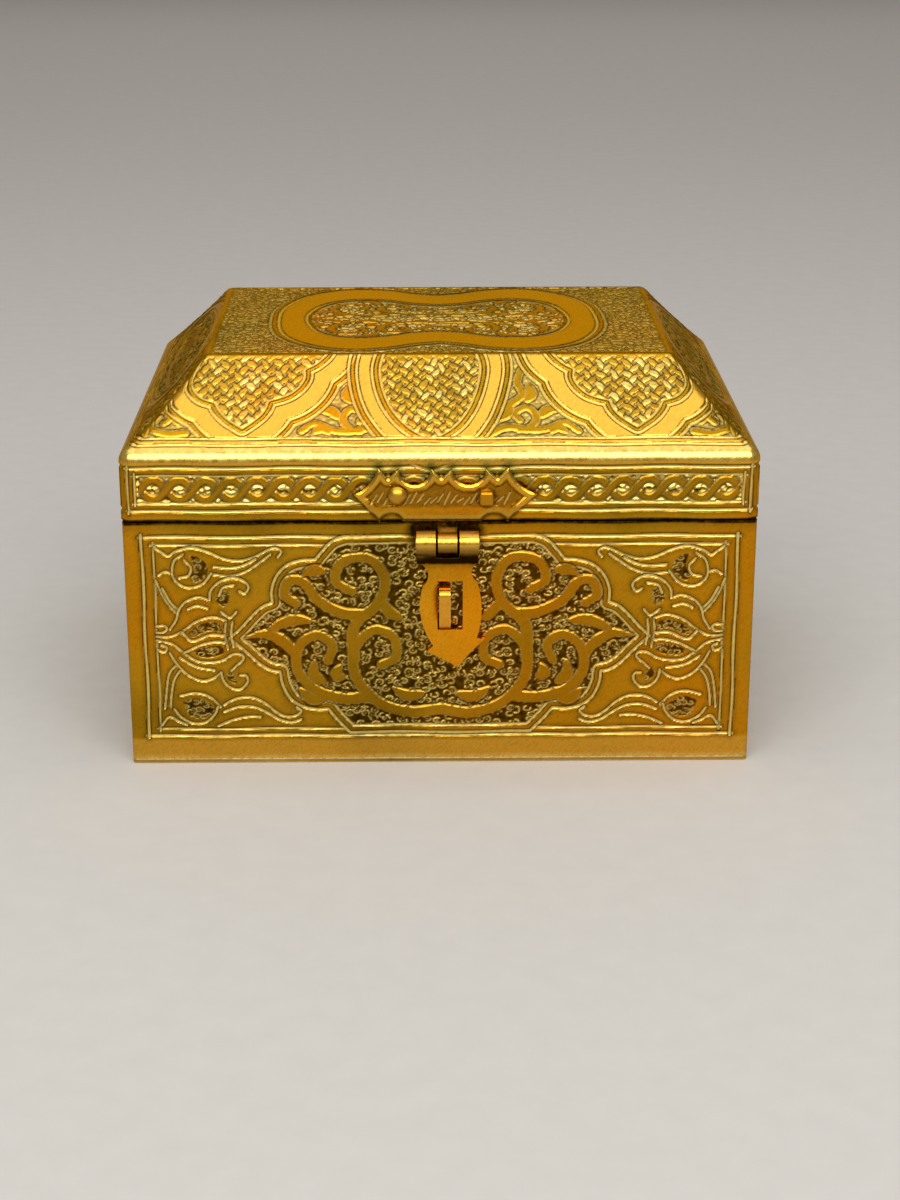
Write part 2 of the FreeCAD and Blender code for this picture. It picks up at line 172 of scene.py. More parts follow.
def blows(x, y, size, seed):
    """The nearest of many uneven punch blows: offsets from its middle, and three chance numbers."""
    # The pattern of blows repeats after this many
    wide, tall = 61, 53
    chance = np.random.default_rng(seed).random((wide, tall, 5))
    i = np.floor(x / size).astype(int)
    j = np.floor(y / size).astype(int)
    best = np.full(x.shape, np.inf)
    found = np.zeros((len(x), 5))
    for di in (-1, 0, 1):
        for dj in (-1, 0, 1):
            blow = chance[(i + di) % wide, (j + dj) % tall]
            dx = x - (i + di + blow[:, 0]) * size
            dy = y - (j + dj + blow[:, 1]) * size
            away = dx * dx + dy * dy
            nearer = away < best
            best[nearer] = away[nearer]
            found[nearer] = np.column_stack([dx, dy, blow[:, 2:]])[nearer]
    return found.T


def ramp(value, low, high):
    """0 at low, 1 at high and straight between."""
    return np.clip((value - low) / (high - low), 0, 1)


def hump(value, low, rise, fall, high):
    """0 up to low, 1 from rise to fall, and 0 again from high."""
    return ramp(value, low, rise) * ramp(value, high, fall)


class Skin:
    """The outside of one sheet: how deep each place is cut and how it was worked."""

    def __init__(self, x, y):
        # A graver held in the hand wanders a little
        self.x = x + 0.10 * np.sin(0.31 * y + 0.9 * np.sin(0.23 * x))
        self.y = y + 0.10 * np.sin(0.27 * x + 0.8 * np.sin(0.35 * y))
        self.depth, self.cut, self.ground, self.polish, self.wear, self.green = np.zeros((6, len(x)))

    def groove(self, gap, along, width=0.85, deep=0.3, stroke=1.7, bright=1.0, shade=0.42):
        """A round-bottomed cut of swelling strokes: bright inside, with dirt along it and beside it."""
        beat = along / stroke + 0.13 * np.sin(0.9 * along)
        swell = 0.72 + 0.28 * np.sin(math.pi * (beat % 1) ** 0.7)
        wall = np.clip(1 - gap / (width / 2 * (0.75 + 0.25 * swell)), 0, 1)
        self.depth = np.maximum(self.depth, deep * swell * (1 - (1 - wall) ** 2))
        self.add_dirt_and_shade(shade * ramp(gap, dirt_reach, 0.3))
        self.cut = np.where(wall > 0, ramp(wall, 0.55, 0.25), self.cut)
        self.ground = np.maximum(self.ground, bright * ramp(wall, 0.25, 0.55))

    def line(self, points):
        """A groove along a smooth line."""
        self.groove(*reach(smooth(points), self.x, self.y, dirt_reach))

    def frames(self, half, table):
        """Frames of four straight grooves, each running a little past the corner."""
        past = 0.5
        for inset, low, high, width, deep, stroke in table:
            side = half - inset
            for ends in (
                ((-side - past, low), (side + past, low)),
                ((-side - past, high), (side + past, high)),
                ((-side, low - past), (-side, high + past)),
                ((side, low - past), (side, high + past)),
            ):
                self.groove(*reach(np.array(ends), self.x, self.y, dirt_reach), width, deep, stroke)

    def add_dirt_and_shade(self, amount):
        """Grime in some places and painted shade in others, where there is less than an amount."""
        self.cut = np.maximum(self.cut, amount)

    def rub(self, amount):
        """Metal rubbed bright where it is less so."""
        self.wear = np.maximum(self.wear, amount)

    def sink(self, share, depth, cut, ground=1.0):
        """Metal taken down to a depth where share is 1."""
        self.depth = self.depth * (1 - share) + depth * share
        self.cut = self.cut * (1 - share) + cut * share
        self.ground = self.ground * (1 - share) + ground * share

    def lift(self, share, cut=0.0):
        """Metal left standing flat where share is 1."""
        self.sink(share, depth=0.0, cut=cut, ground=0.0)

    def traced(self, points, far):
        """How far each place lies from a smooth line, and which share of its length comes before."""
        line = smooth(points)
        gap, along = reach(line, self.x, self.y, far)
        return gap, along / np.hypot(*np.diff(line, axis=0).T).sum()

    def strap(self, points, width, taper):
        """How far each place lies outside a flat ribbon, narrower towards its end by taper."""
        gap, share = self.traced(points, width)
        return gap - width / 2 * (1 - taper * share)

    def leaf(self, points, width):
        """How far each place lies outside a leaf, pointed at both ends."""
        gap, share = self.traced(points, width)
        half = width / 2 * np.sin(math.pi * np.clip(share, 0, 1) ** 0.8) ** 0.8
        return np.where(half > 0.12, gap - half, width)

    def scrollwork(self, straps, leaves, width, leaf_width, taper, flips, cut=0.0):
        """Ribbons and leaves left standing in the ground, with rounded edges, a thin painted highlight along
        them and painted shade beside them.
        """
        away = np.full(self.x.shape, 9.0)
        for flip in flips:
            for points in straps:
                away = np.minimum(away, self.strap(np.array(points) * flip, width, taper))
            for points in leaves:
                away = np.minimum(away, self.leaf(np.array(points) * flip, leaf_width))
        # Painted shade in a darker line just beside each ribbon and leaf
        self.add_dirt_and_shade(hump(away, 0.05, 0.2, 0.35, 0.65))
        standing = ramp(away, 0.16, -0.06)
        self.lift(standing, cut)
        self.depth = self.depth + 0.15 * np.clip(1 + away / 0.55, 0, 1) ** 2 * standing
        # A thin painted highlight along the edge of each ribbon and leaf
        self.ground = np.maximum(self.ground, 0.25 * ramp(np.abs(away + 0.05), 0.2, 0.06))

    def chased(self, share, deepest=0.4, blow=1.8, seed=1):
        """Rough ground: flat rings struck close together with a hollow punch, dark between them."""
        dx, dy, turn, start, tilt = blows(self.x, 1.35 * self.y, blow, seed)
        away = np.hypot(dx, dy * (0.8 + 0.5 * start)) / blow
        open_side = ramp(np.cos(np.arctan2(dy, dx) - 2 * math.pi * turn), -1.0, -0.6)
        ring = ramp(np.abs(away - 0.38), 0.18, 0.05) * open_side
        bead = ramp(away, 0.18, 0.05) * (tilt > 0.25)
        high = np.maximum(ring, bead) * (0.6 + 0.4 * start)
        self.sink(share, deepest - (deepest - 0.06) * high, 1 - high, 0.9 * ramp(high, 0.2, 0.7))

    def faceted(self, share, deepest, seed, slope=0.5, blow=1.2, bright=0.8):
        """Ground cut out in small slanting facets, some of which catch the light."""
        dx, dy, turn, _, tilt = blows(self.x, self.y, blow, seed)
        dip = slope * (dy + 0.9 * (turn - 0.5) * dx)
        low = ramp(dip / (abs(slope) * blow), 0.05, 0.4)
        depth = np.maximum(deepest + dip, 0.05)
        self.sink(share, depth, 0.8 * low, bright * (1 - low) * (0.5 + 0.5 * tilt))

    def stippled(self, share, deepest=0.22, blow=0.85, seed=2):
        """Ground beaten down with a small punch."""
        dx, dy, _, _, tilt = blows(self.x, self.y, blow, seed)
        dent = np.clip(1 - np.hypot(dx, dy) / (0.62 * blow), 0, 1)
        self.sink(share, deepest - 0.14 + 0.14 * dent + 0.05 * tilt, 0.25 + 0.6 * dent * tilt, 0.5)

    def woven(self, share, pitch=2.0, turn=math.pi / 4):
        """Basket work: rounded straps that pass over and under each other, with pits between."""
        p = (self.x * math.cos(turn) + self.y * math.sin(turn)) / pitch
        q = (self.y * math.cos(turn) - self.x * math.sin(turn)) / pitch
        # No strap runs quite straight
        p = p + 0.1 * np.sin(1.3 * self.x + 1.1 * np.sin(0.9 * self.y))
        q = q + 0.1 * np.sin(1.2 * self.y + 1.4 * np.sin(0.8 * self.x))
        # Straps about 0.56 of the pitch wide
        fp = np.abs(p % 1 - 0.5)
        fq = np.abs(q % 1 - 0.5)
        even = (np.floor(p) + np.floor(q)) % 2 == 0
        over, under = np.where(even, fp, fq), np.where(even, fq, fp)
        pit = ramp(under, 0.26, 0.34)
        low = (0.15 + 0.5 * under**2) * (1 - pit) + 0.36 * pit
        high = 0.02 + 0.9 * over**2 + 0.10 * ramp(under, 0.25, 0.5)
        on_top = ramp(over, 0.33, 0.27)
        # Painted shade: a dark line along the edges of each strap where it passes over another
        seam = hump(over, 0.27, 0.32, 0.40, 0.46)
        cut = np.maximum(0.65 * pit * (1 - on_top), 0.85 * seam)
        # At random some straps are painted paler, as painted glints, and some stay brown
        luck = np.sin(12.9 * np.floor(p) + 78.2 * np.floor(q)) * 437.5 % 1
        cut = np.maximum(cut, 0.4 * on_top * ramp(luck, 0.45, 0.0))
        self.sink(share, high * on_top + low * (1 - on_top), cut, 0.1 + 0.6 * pit * (1 - on_top))
        self.rub(0.7 * share * on_top * (1 - seam) * ramp(luck, 0.55, 0.95))

    def guilloche(self, half_length, low, high, pitch=4.9, strap=1.3):
        """Two rounded strands that plait along a band, with bright pits cut out between them."""
        x, y = self.x, self.y
        left, right = -half_length, half_length
        half, soft, pit_depth = strap / 2, 0.3, 0.36
        share = hump(x, left, left + soft, right - soft, right) * hump(y, low, low + soft, high - soft, high)
        self.faceted(share, pit_depth, seed=5)
        middle = (low + high) / 2
        swing = (high - low) / 2 - half - 0.05
        turn = np.pi * (x - left - 0.8) / pitch
        wave = swing * np.sin(turn)
        steep = np.cos(np.arctan(swing * math.pi / pitch * np.cos(turn)))
        rising, falling = np.abs(y - middle - wave) * steep, np.abs(y - middle + wave) * steep
        crossing = np.floor(turn / math.pi + 0.5) % 2 == 0
        show = share * hump(x, left + 0.5, left + 0.8, right - 0.8, right - 0.5)
        for gap in (np.where(crossing, falling, rising), np.where(crossing, rising, falling)):
            self.sink(show * hump(gap, half, half + 0.1, half + 0.25, half + 0.42), pit_depth, cut=0.9)
            strand = show * ramp(gap, half + 0.16, half - 0.04)
            darkening = 0.12 + 0.3 * ramp(gap, 0.35 * strap, 0.5 * strap)
            self.sink(strand, 0.02 + 0.16 * (gap / half) ** 2, darkening, ground=0.0)


# Frames of a wall and of the lid's rim: inset from the ends, low, high, width, depth and length of a stroke
wall_frames = [(3.5, 5.8, 46.3, 0.95, 0.34, 4.6), (5.7, 7.2, 44.7, 0.75, 0.3, 3.8)]
rim_frames = [(1.7, 1.9, 10.3, 0.9, 0.32, 4.6), (3.1, 3.4, 8.8, 0.7, 0.3, 3.2)]

# Ornament of the upright walls: the right half, on a wall 120 wide
medallion_runs = [
    [(18, 46.4), (20.4, 45.4), (22.2, 43.5), (23.6, 41.8)],
    [(23.6, 41.8), (26.3, 41.6), (29.1, 40.6), (31.2, 38.4), (32.2, 35.6), (32.1, 33.1)],
    [(32.1, 33.1), (34, 32.3), (36, 30.4), (38.2, 27.9), (40.3, 26)],
    [(40.3, 26), (37.6, 23.4), (35, 20.7), (32.8, 19.3), (31, 18.9)],
    [(31, 18.9), (30.6, 16.4), (29.2, 13.5), (27, 11.8), (24.4, 11.1), (21.8, 11.2)],
    [(21.8, 11.2), (20.2, 9.2), (17.5, 6.3)],
]
medallion_scrolls = [
    [(0, 11), (6, 10.4), (12, 12.6), (16.2, 17.6), (16.4, 23.6), (12.8, 27.4), (8.9, 25.8), (8.6, 21.8),
     (11.4, 20.2)],
    [(13.6, 13.8), (19, 13.4), (24.4, 15.2), (27.6, 19.4), (27, 24.2), (23.6, 26.4), (20.6, 24.4),
     (21.6, 21.2)],
    [(16.6, 21.6), (16.4, 28.4), (12, 32.8), (10.6, 37.6), (13.4, 41.8), (18.4, 41.4), (20, 37.6),
     (17, 35.4)],
    [(14.8, 30.6), (19, 31), (23.4, 33.4), (26, 37), (28.8, 37.4), (29.8, 34.6), (27.6, 32.8)],
]
medallion_leaves = [
    [(26.8, 20.6), (29.6, 24.6), (33.2, 26.6), (37.6, 26)],
    [(24.4, 29.2), (28, 29.4), (31, 28.4), (33.8, 26.4)],
    [(22, 16.4), (24.4, 18.4), (24, 21.6)],
    [(7, 29.6), (9.8, 31.2), (11.8, 34.6)],
    [(21.6, 39.4), (24.2, 39.6), (26.4, 38.4)],
    [(18.2, 17.6), (20, 18.4), (19, 20.6)],
    [(3, 14.4), (6.4, 13.8), (9.6, 15.8)],
    [(22.4, 13.2), (25.2, 13.4), (27.4, 15.6)],
]
corner_lines = [
    [(54, 44.2), (52.6, 43.2), (51.4, 42.5), (49.9, 43.5), (47, 44.2), (44, 43.5), (41, 42.1), (38, 41.6),
     (35, 42.4), (32.5, 43.7), (31, 44), (30.1, 43.2), (30.8, 42.2)],
    [(43.3, 39), (40, 38.6), (37, 39.4), (34.5, 41), (32.2, 42.7)],
    [(43, 40.5), (40, 40.2), (37.5, 40.6), (35, 41.8)],
    [(53.6, 38.6), (52.2, 39.4), (50.9, 39)],
    [(48.6, 42.9), (50.3, 41.6), (50.9, 39.3), (50.4, 37.6), (48.8, 36.4), (47, 36.3), (45, 37.2),
     (43.5, 39.2)],
    [(48.5, 41.8), (47.3, 40.3), (47.8, 38.7), (49.6, 38.2)],
    [(54.2, 37.6), (52.9, 34.4), (51.4, 32), (50.2, 30.8)],
    [(53, 36), (51.6, 33.2), (49.9, 31.4)],
    [(50.6, 20.6), (52.2, 18.6), (52.9, 15.5), (53.4, 11.5)],
    [(49.8, 19.7), (51.4, 17.2), (52.1, 14), (52.3, 11.8)],
    [(50.4, 14), (47.4, 14.6), (44.8, 13.9), (42.6, 11.8)],
    [(42, 12.2), (39.5, 13.6), (36.5, 13.8), (34, 12.6), (32, 10.8), (30.2, 9.7), (28.3, 9.7), (27, 10.6),
     (27.9, 11.5)],
    [(42, 10.8), (39, 11.9), (36, 11.8), (33.6, 10.6), (31.2, 9), (28.8, 8.4), (27, 9)],
    [(43.2, 7.8), (40, 9.2), (37, 9.8), (34.8, 9.7)],
    [(54, 7.8), (52.6, 9.6), (51, 8.8), (49.2, 8)],
    [(51.6, 11.2), (50.4, 9.6), (48.2, 8.4), (45.6, 8.6), (43.8, 10.2), (43.2, 11.8)],
]
palmette_lines = [
    [(40.9, 29.6), (41.2, 26.8), (40.7, 23.8)],
    [(39.7, 29.4), (40, 26.8), (39.6, 24.2)],
    [(41, 29.6), (43.5, 30.3), (46.5, 29.4), (49, 27.6), (51.5, 26.3), (54.3, 26.2)],
    [(54.3, 25.4), (51.5, 24.8), (49.3, 23.1), (46.8, 21.4), (44, 21.1), (41.6, 21.6), (39.8, 22.7),
     (38.3, 22.6), (37.9, 21.6), (39.2, 20.4), (40.3, 19.3)],
    [(49, 23), (46, 24.6), (43, 25.3), (41.2, 25.1)],
    [(41.2, 26.5), (44, 26.7), (47.5, 25.4), (49.4, 27)],
    [(51.8, 27.6), (50.6, 29.5), (50, 31.6), (48.6, 33.3), (46.2, 34.3), (44.1, 33.7)],
    [(44.1, 33.7), (43.8, 35.6), (42, 37.5), (39.6, 38.2), (37.6, 37.6), (36.6, 36.3), (37.3, 35.1),
     (38.4, 35.6)],
    [(44.5, 32), (46.5, 32.5), (48.3, 31.8)],
    [(42.3, 34.6), (41.4, 36.3), (39.4, 36.8)],
    [(42, 31.4), (40.2, 30.2), (38.9, 31.4)],
    [(54.3, 28.3), (53, 28.5), (52.3, 27.8), (53, 27.1), (54.2, 27)],
    [(54.2, 23.5), (52.9, 23.1), (52.4, 23.9), (53.4, 24.5)],
    [(51.9, 22.9), (50.6, 20.6), (48.6, 18.4), (46, 17.2), (43.8, 17.8), (42.3, 19)],
    [(42.3, 19), (41.9, 17.2), (40.5, 15.8), (38.6, 15.6), (37.3, 17), (37.6, 18.3), (38.7, 18.4)],
    [(50, 22), (47, 20.2), (43.5, 19.5)],
]
# Little fields of fine strokes inside the buds and the palmettes
bud_rings = [
    [(47.6, 42.9), (45.6, 42.4), (44.2, 41), (44, 39.2), (45.4, 37.6), (47, 37.2), (47.6, 38.4),
     (46.8, 40.4)],
    [(50, 12.8), (47.4, 13.6), (45.2, 12.9), (43.8, 11.4), (44.6, 9.9), (46.6, 9.2), (48.8, 9.9)],
    [(48.6, 26.9), (46.4, 28.7), (43.6, 29.4), (41.8, 28.8), (41.9, 27.2), (44.2, 27.3), (47.3, 26.1)],
    [(47.6, 23.2), (45.6, 24.2), (42.8, 24.6), (41.6, 24.3), (41.6, 22.8), (44.2, 21.9), (46.4, 22.2)],
    [(43, 33.4), (42.8, 35), (41.6, 36), (40.2, 35.2), (40.6, 33), (41.6, 32.2)],
    [(41.6, 18.6), (40.9, 17.2), (39.4, 16.6), (39.6, 18.2), (40.6, 19.2)],
]


def chase_wall(skin, half, with_hasp):
    """A wall: a double frame, a lobed medallion, palmettes at its tips and buds in the corners."""
    narrower = half_width - half
    tip = medallion_runs[2][-1][0]
    squeeze = 1 - narrower / tip
    ribbon = 2.3 if squeeze > 0.9 else 1.7
    skin.frames(half, wall_frames)
    ring = closed_over(joined(medallion_runs) * [squeeze, 1])
    gap, along = ring_gap(ring, skin.x, skin.y, far=4.0)
    # The band of the medallion wipes out the inner frame line where they meet
    skin.lift(ramp(gap, 0.2, -0.1))
    skin.groove(np.abs(gap), along, width=1.0, deep=0.34)
    skin.groove(np.abs(gap + 1.5), along, width=0.8)
    skin.chased(ramp(gap, -1.6, -1.95))
    # The ribbons inside the medallion are handled less and stay browner
    flips = [(squeeze, 1), (-squeeze, 1)]
    skin.scrollwork(medallion_scrolls, medallion_leaves, ribbon, ribbon, taper=0.25, flips=flips, cut=0.22)
    for mirror in (1, -1):
        for points in bud_rings:
            bud = (np.array(points) - [narrower, 0]) * [mirror, 1]
            gap = ring_gap(smooth(np.vstack([bud, bud[:1]])), skin.x, skin.y, far=1.0)[0]
            skin.chased(ramp(gap, 0.05, -0.3), deepest=0.22, blow=1.5, seed=7)
        for points in corner_lines + palmette_lines:
            skin.line((np.array(points) - [narrower, 0]) * [mirror, 1])
    # The plain border below is rubbed by whatever the box stands on
    skin.rub(0.1 * ramp(np.abs(skin.x), half - 0.7, half))
    skin.rub(0.7 * ramp(skin.y, 2.0, 1.0))
    # Painted light: the band above the foot is painted polished to brighten it where it mirrors the darker
    # floor by the box
    skin.polish = 0.6 * ramp(skin.y, 5.4, 4.8)
    # Painted shade darkens the top of the wall under the lid, darkest in a line at the gap
    skin.add_dirt_and_shade(0.45 * ramp(skin.y, 46.6, body_height))
    skin.add_dirt_and_shade(1.1 * ramp(skin.y, 48.55, 48.85))
    if with_hasp:
        # Painted shadow on the wall behind and above the barrel of the hasp, with no pale ground showing there
        spread_x, spread_y, height = 8.6, 6.4, 47.2
        away = np.hypot((skin.x - hasp_plate_middle) / spread_x, (skin.y - height) / spread_y)
        behind = ramp(away, 1.0, 0.72)
        skin.add_dirt_and_shade(1.1 * behind)
        skin.ground = skin.ground * (1 - behind)


# Ornament of the lid's slopes: x along, y up the slope. It starts above the shoulder, drawn a little short.
slope_lift = 1.86
slope_squeeze = 0.968
# The plaited band of the rim: how far it ends from the corner, low and high
rim_band = (3.3, 3.5, 8.7)
# The pendant in the middle of the long slopes hangs a little to the left
pendant_middle = -1.8
side_pendant_runs = [
    [(20.8, 23), (21.8, 20.8), (23.6, 18.9), (25.7, 17.6)],
    [(25.7, 17.6), (25.6, 15.6), (26.8, 13.4), (29, 11.7), (32.3, 10.6)],
    [(32.3, 10.6), (33, 8.6), (34.6, 6.6), (37.2, 4.6)],
    [(37.2, 4.6), (39.8, 6.6), (41.4, 8.6), (42.2, 10.4)],
    [(42.2, 10.4), (44.8, 11.4), (46.4, 13.2), (46.9, 15.4), (46.2, 18), (44, 23)],
]
centre_pendant_run = [
    (8, 23), (9, 20.6), (9.5, 18), (9.2, 15), (8.4, 11.6), (7, 8.2), (4.4, 4.8), (0, 1.6),
]
spandrel_straps = [
    [(9, 3), (12.5, 4.6), (16.4, 4.2), (18.2, 6.6), (16.6, 8.8), (14.2, 7.6), (15, 6)],
    [(15, 4), (19.6, 4), (23.4, 5.6), (26, 3.8)],
    [(13.6, 9.6), (15.8, 11.8), (14.8, 14.6), (15.6, 17.6)],
]
spandrel_leaves = [
    [(11.4, 6), (13, 8.2), (12.8, 10.6)],
    [(18.8, 6.6), (20.4, 8.4), (23, 8.4)],
    [(20.6, 3.2), (22, 4.6), (24, 3.2)],
    [(16.4, 10), (17.4, 12.2), (16.6, 14.4)],
]
hip_straps = [
    [(47.8, 3.6), (51, 3.2), (54.4, 4.6), (54.6, 7.4), (52.2, 8.6), (50.6, 7), (51.8, 5.6)],
]
hip_leaves = [
    [(55.2, 2.8), (56, 4.4), (55.4, 6.2)],
    [(49, 5.2), (49.6, 7), (51.2, 8.8)],
]
side_cartouche_run = [
    (0, 18.6), (8, 18.4), (16, 17.2), (21, 15.6), (24.2, 13.4), (26.2, 10.6), (24.2, 7.8), (21, 5.8),
    (16, 4.4), (8, 3.6), (0, 3.5),
]
side_cartouche_scrolls = [
    [(0, 6.4), (4.6, 6.6), (8, 9.4), (7.2, 13), (3.8, 13.6), (2.8, 10.8)],
    [(6.6, 7.6), (11, 6.8), (15.2, 8.6), (16.2, 12), (13.2, 14), (11, 12), (12.6, 10.2)],
    [(14.8, 8), (19, 8.2), (22.6, 10.8)],
]
side_cartouche_leaves = [
    [(0, 14), (2, 16.2), (6, 16.6)],
    [(8.4, 12.6), (9.6, 14.8), (12, 15.8)],
    [(16.4, 13), (19, 13), (22, 11)],
]


def banded_field(skin, ring, edge, band):
    """A field inside a wide polished band, with a pair of grooves along each edge of the band."""
    out = edge + band
    gap, along = ring_gap(ring, skin.x, skin.y, out + edge + 1.0)
    skin.lift(ramp(gap, out + edge, out + edge - 0.2))
    for offset in (0.0, edge, out, out + edge):
        skin.groove(np.abs(gap - offset), along, width=1.0, deep=0.22, stroke=4.0, bright=0.5, shade=0.0)
    skin.polish = np.maximum(skin.polish, hump(gap, edge - 0.2, edge + 0.2, out, out + 0.2))
    return gap


def chase_lid_side(skin, to_edge, half, with_hasp):
    """A side of the lid: plaited band on the rim, plain shoulder, and banded fields on the slope."""
    skin.frames(half, rim_frames)
    inset, low, high = rim_band
    skin.guilloche(half - inset, low, high)
    rim = skin.y
    skin.y = (skin.y - slope_start - slope_lift) / slope_squeeze
    clear = ramp(to_edge, 0.4, 1.0)
    on_slope = ramp(skin.y, 2.3, 2.6) * clear
    skin.stippled(on_slope)
    both = [(1, 1), (-1, 1)]
    if half > 50:
        straps, leaves = spandrel_straps + hip_straps, spandrel_leaves + hip_leaves
        skin.scrollwork(straps, leaves, width=1.5, leaf_width=2.1, taper=0.2, flips=both)
        # Each field: its ring, edge, band, and the pitch and turn of its basket work
        fields = [(joined(side_pendant_runs) * flip, 1.4, 3.9, 1.8, math.pi / 4) for flip in both]
        ring = closed_over(smooth(centre_pendant_run) + [pendant_middle, 0], pendant_middle)
        for ring, edge, band, pitch, turn in fields + [(ring, 1.5, 3.0, 1.7, 0.9)]:
            gap = banded_field(skin, ring, edge, band)
            skin.woven(ramp(gap, -0.1, -0.4) * clear, pitch, turn)
    else:
        skin.woven(on_slope)
        gap = banded_field(skin, closed_over(smooth(side_cartouche_run)), edge=1.3, band=2.4)
        skin.chased(ramp(gap, -0.1, -0.4), deepest=0.3, seed=11)
        straps, leaves = side_cartouche_scrolls, side_cartouche_leaves
        skin.scrollwork(straps, leaves, width=1.5, leaf_width=1.7, taper=0.3, flips=both)
    plain = ramp(rim, 10.8, 11.0) * ramp(skin.y, 2.4, 2.3)
    skin.lift(plain)
    skin.polish = np.maximum(skin.polish, 0.7 * plain)
    end = half - 1.2
    for height in (0.75, 2.2):
        gap, along = reach(np.array([(-end, height), (end, height)]), skin.x, skin.y, far=0.6)
        skin.groove(gap, along, width=0.9, deep=0.22, stroke=3.8, bright=0.6, shade=0.0)
    skin.depth = skin.depth * ramp(to_edge, 0.2, 0.8)
    # Painted shade along the rim's lower edge, at the gap above the wall
    skin.add_dirt_and_shade(1.1 * ramp(rim, 0.4, 0.15))
    # Hands rub the shoulder brightest; the pale band lies along the shoulder's highlight and is partly a
    # painted highlight
    skin.rub(0.65 * ramp(rim, rim_flat + 0.3, rim_flat + 0.9) * ramp(skin.y, 0.6, 0.1))
    if with_hasp:
        # Painted shade in a dark line round the hasp plate, and a little verdigris in the corner
        gap = ring_gap(hasp_plate_ring(), skin.x, lid_bottom + rim, far=3.0)[0]
        skin.add_dirt_and_shade(0.9 * ramp(gap, 1.1, 0.2))
        skin.green = ramp(gap, 2.0, 0.4) * ramp(rim, 6.0, 8.5)


# Ornament of the flat top
top_outer_run = mirrored_down([
    (0, 21.5), (5, 23.2), (10, 26.2), (16, 27.6), (22, 25.8), (27.5, 20.6), (31, 12), (32.2, 0),
])
top_inner_run = mirrored_down([
    (0, 12), (5, 13.4), (10, 16.4), (15, 17.6), (20, 16.2), (24, 11.8), (26, 5.4), (26.5, 0),
])
top_scrolls = [
    [(0, 4), (5, 3.2), (10, 5.4), (11.6, 9.8), (8.6, 12.4), (5.8, 10.4), (7, 8)],
    [(9, 4.4), (14, 2.4), (19.6, 4.8), (21.4, 9.6), (18.4, 13.2), (14.6, 11.8), (15.4, 8.4)],
    [(18, 3.4), (22, 1.6), (25, 0)],
]
top_leaves = [
    [(0, 7), (2.6, 8.4), (4, 11)],
    [(12, 12.6), (13.4, 15.2), (16.8, 16)],
    [(11.6, 6.6), (13.4, 6.4), (14, 4.6)],
    [(21.6, 7), (23.8, 5.8), (24.6, 3.4)],
]


def chase_lid_top(skin, to_edge):
    """The top: a waisted band round a field of scrolls, on rough ground."""
    skin.faceted(ramp(to_edge, 0.5, 1.2), deepest=0.42, seed=12, slope=-0.58, blow=1.4, bright=0.4)
    gap, along = ring_gap(closed_over(smooth(top_outer_run)), skin.x, skin.y, far=6.0)
    skin.lift(ramp(gap, 1.8, 1.6))
    inner, inner_along = ring_gap(closed_over(smooth(top_inner_run)), skin.x, skin.y, far=6.0)
    for away, where in ((gap - 1.7, along), (gap, along), (inner, inner_along), (inner + 1.3, inner_along)):
        skin.groove(np.abs(away), where, width=1.1, deep=0.3, stroke=3.4, shade=0.15)
    skin.polish = 0.6 * ramp(gap, 0.0, -0.3) * ramp(inner, 0.0, 0.3)
    skin.faceted(ramp(inner, -1.4, -1.8), deepest=0.48, seed=13, slope=-0.66, blow=1.5)
    flips = [(1, 1), (-1, 1), (1, -1), (-1, -1)]
    skin.scrollwork(top_scrolls, top_leaves, width=1.7, leaf_width=1.9, taper=0.25, flips=flips)
    skin.depth = skin.depth * ramp(to_edge, 0.2, 0.8)


# The hasp plate: the right half of its outline, as shares of half its width and of its height
hasp_plate_middle = 1.0
hasp_plate_width = 34.4
hasp_plate_height = 10.6
hasp_plate_skew = -0.045
hasp_plate_front = 47.5
hasp_plate_sheet = 1.2
hasp_plate_runs = [
    [(0.0, 0.80), (0.115, 0.98)],
    [(0.115, 0.98), (0.30, 0.67), (0.475, 0.98)],
    [(0.475, 0.98), (0.595, 0.79)],
    [(0.595, 0.79), (0.71, 1.0)],
    [(0.71, 1.0), (0.82, 0.69), (1.0, 0.50)],
    [(1.0, 0.50), (0.83, 0.23), (0.70, 0.0)],
    [(0.70, 0.0), (0.575, 0.15), (0.43, 0.02)],
    [(0.43, 0.02), (0.0, 0.02)],
]
# Slanting strokes of a file all along the field, a little uneven
hasp_plate_strokes = [
    [(-13.0 + 1.25 * i, 53.2 + 0.3 * math.sin(2.1 * i)), (-11.9 + 1.25 * i, 54.7 + 0.6 * math.sin(1.3 * i))]
    for i in range(21)
]
# Up to here the plate has a plain band below its field
hasp_plate_band = 52.6


def hasp_plate_ring():
    """The plate's scalloped outline, across and up the front."""
    half = []
    for run in hasp_plate_runs:
        run = np.array(run) * [hasp_plate_width / 2, hasp_plate_height]
        half.append(arc(*run) if len(run) == 3 else run)
    ring = closed_over(np.vstack(half))
    bow = 1 - (2 * ring[:, 0] / hasp_plate_width) ** 2
    lean_over = hasp_plate_skew * hasp_plate_width / 2 * bow
    return ring + np.column_stack([hasp_plate_middle + lean_over, np.full(len(ring), lid_bottom)])


# Forms of the sheets: where a place across and up a sheet lies in space

def turned(along, out, height, side):
    """Places given along a side, out from the middle and up."""
    x, y = {
        "front": (along, -out), "right": (out, along), "back": (-along, out), "left": (-out, -along),
    }[side]
    return np.column_stack([x, y, height])


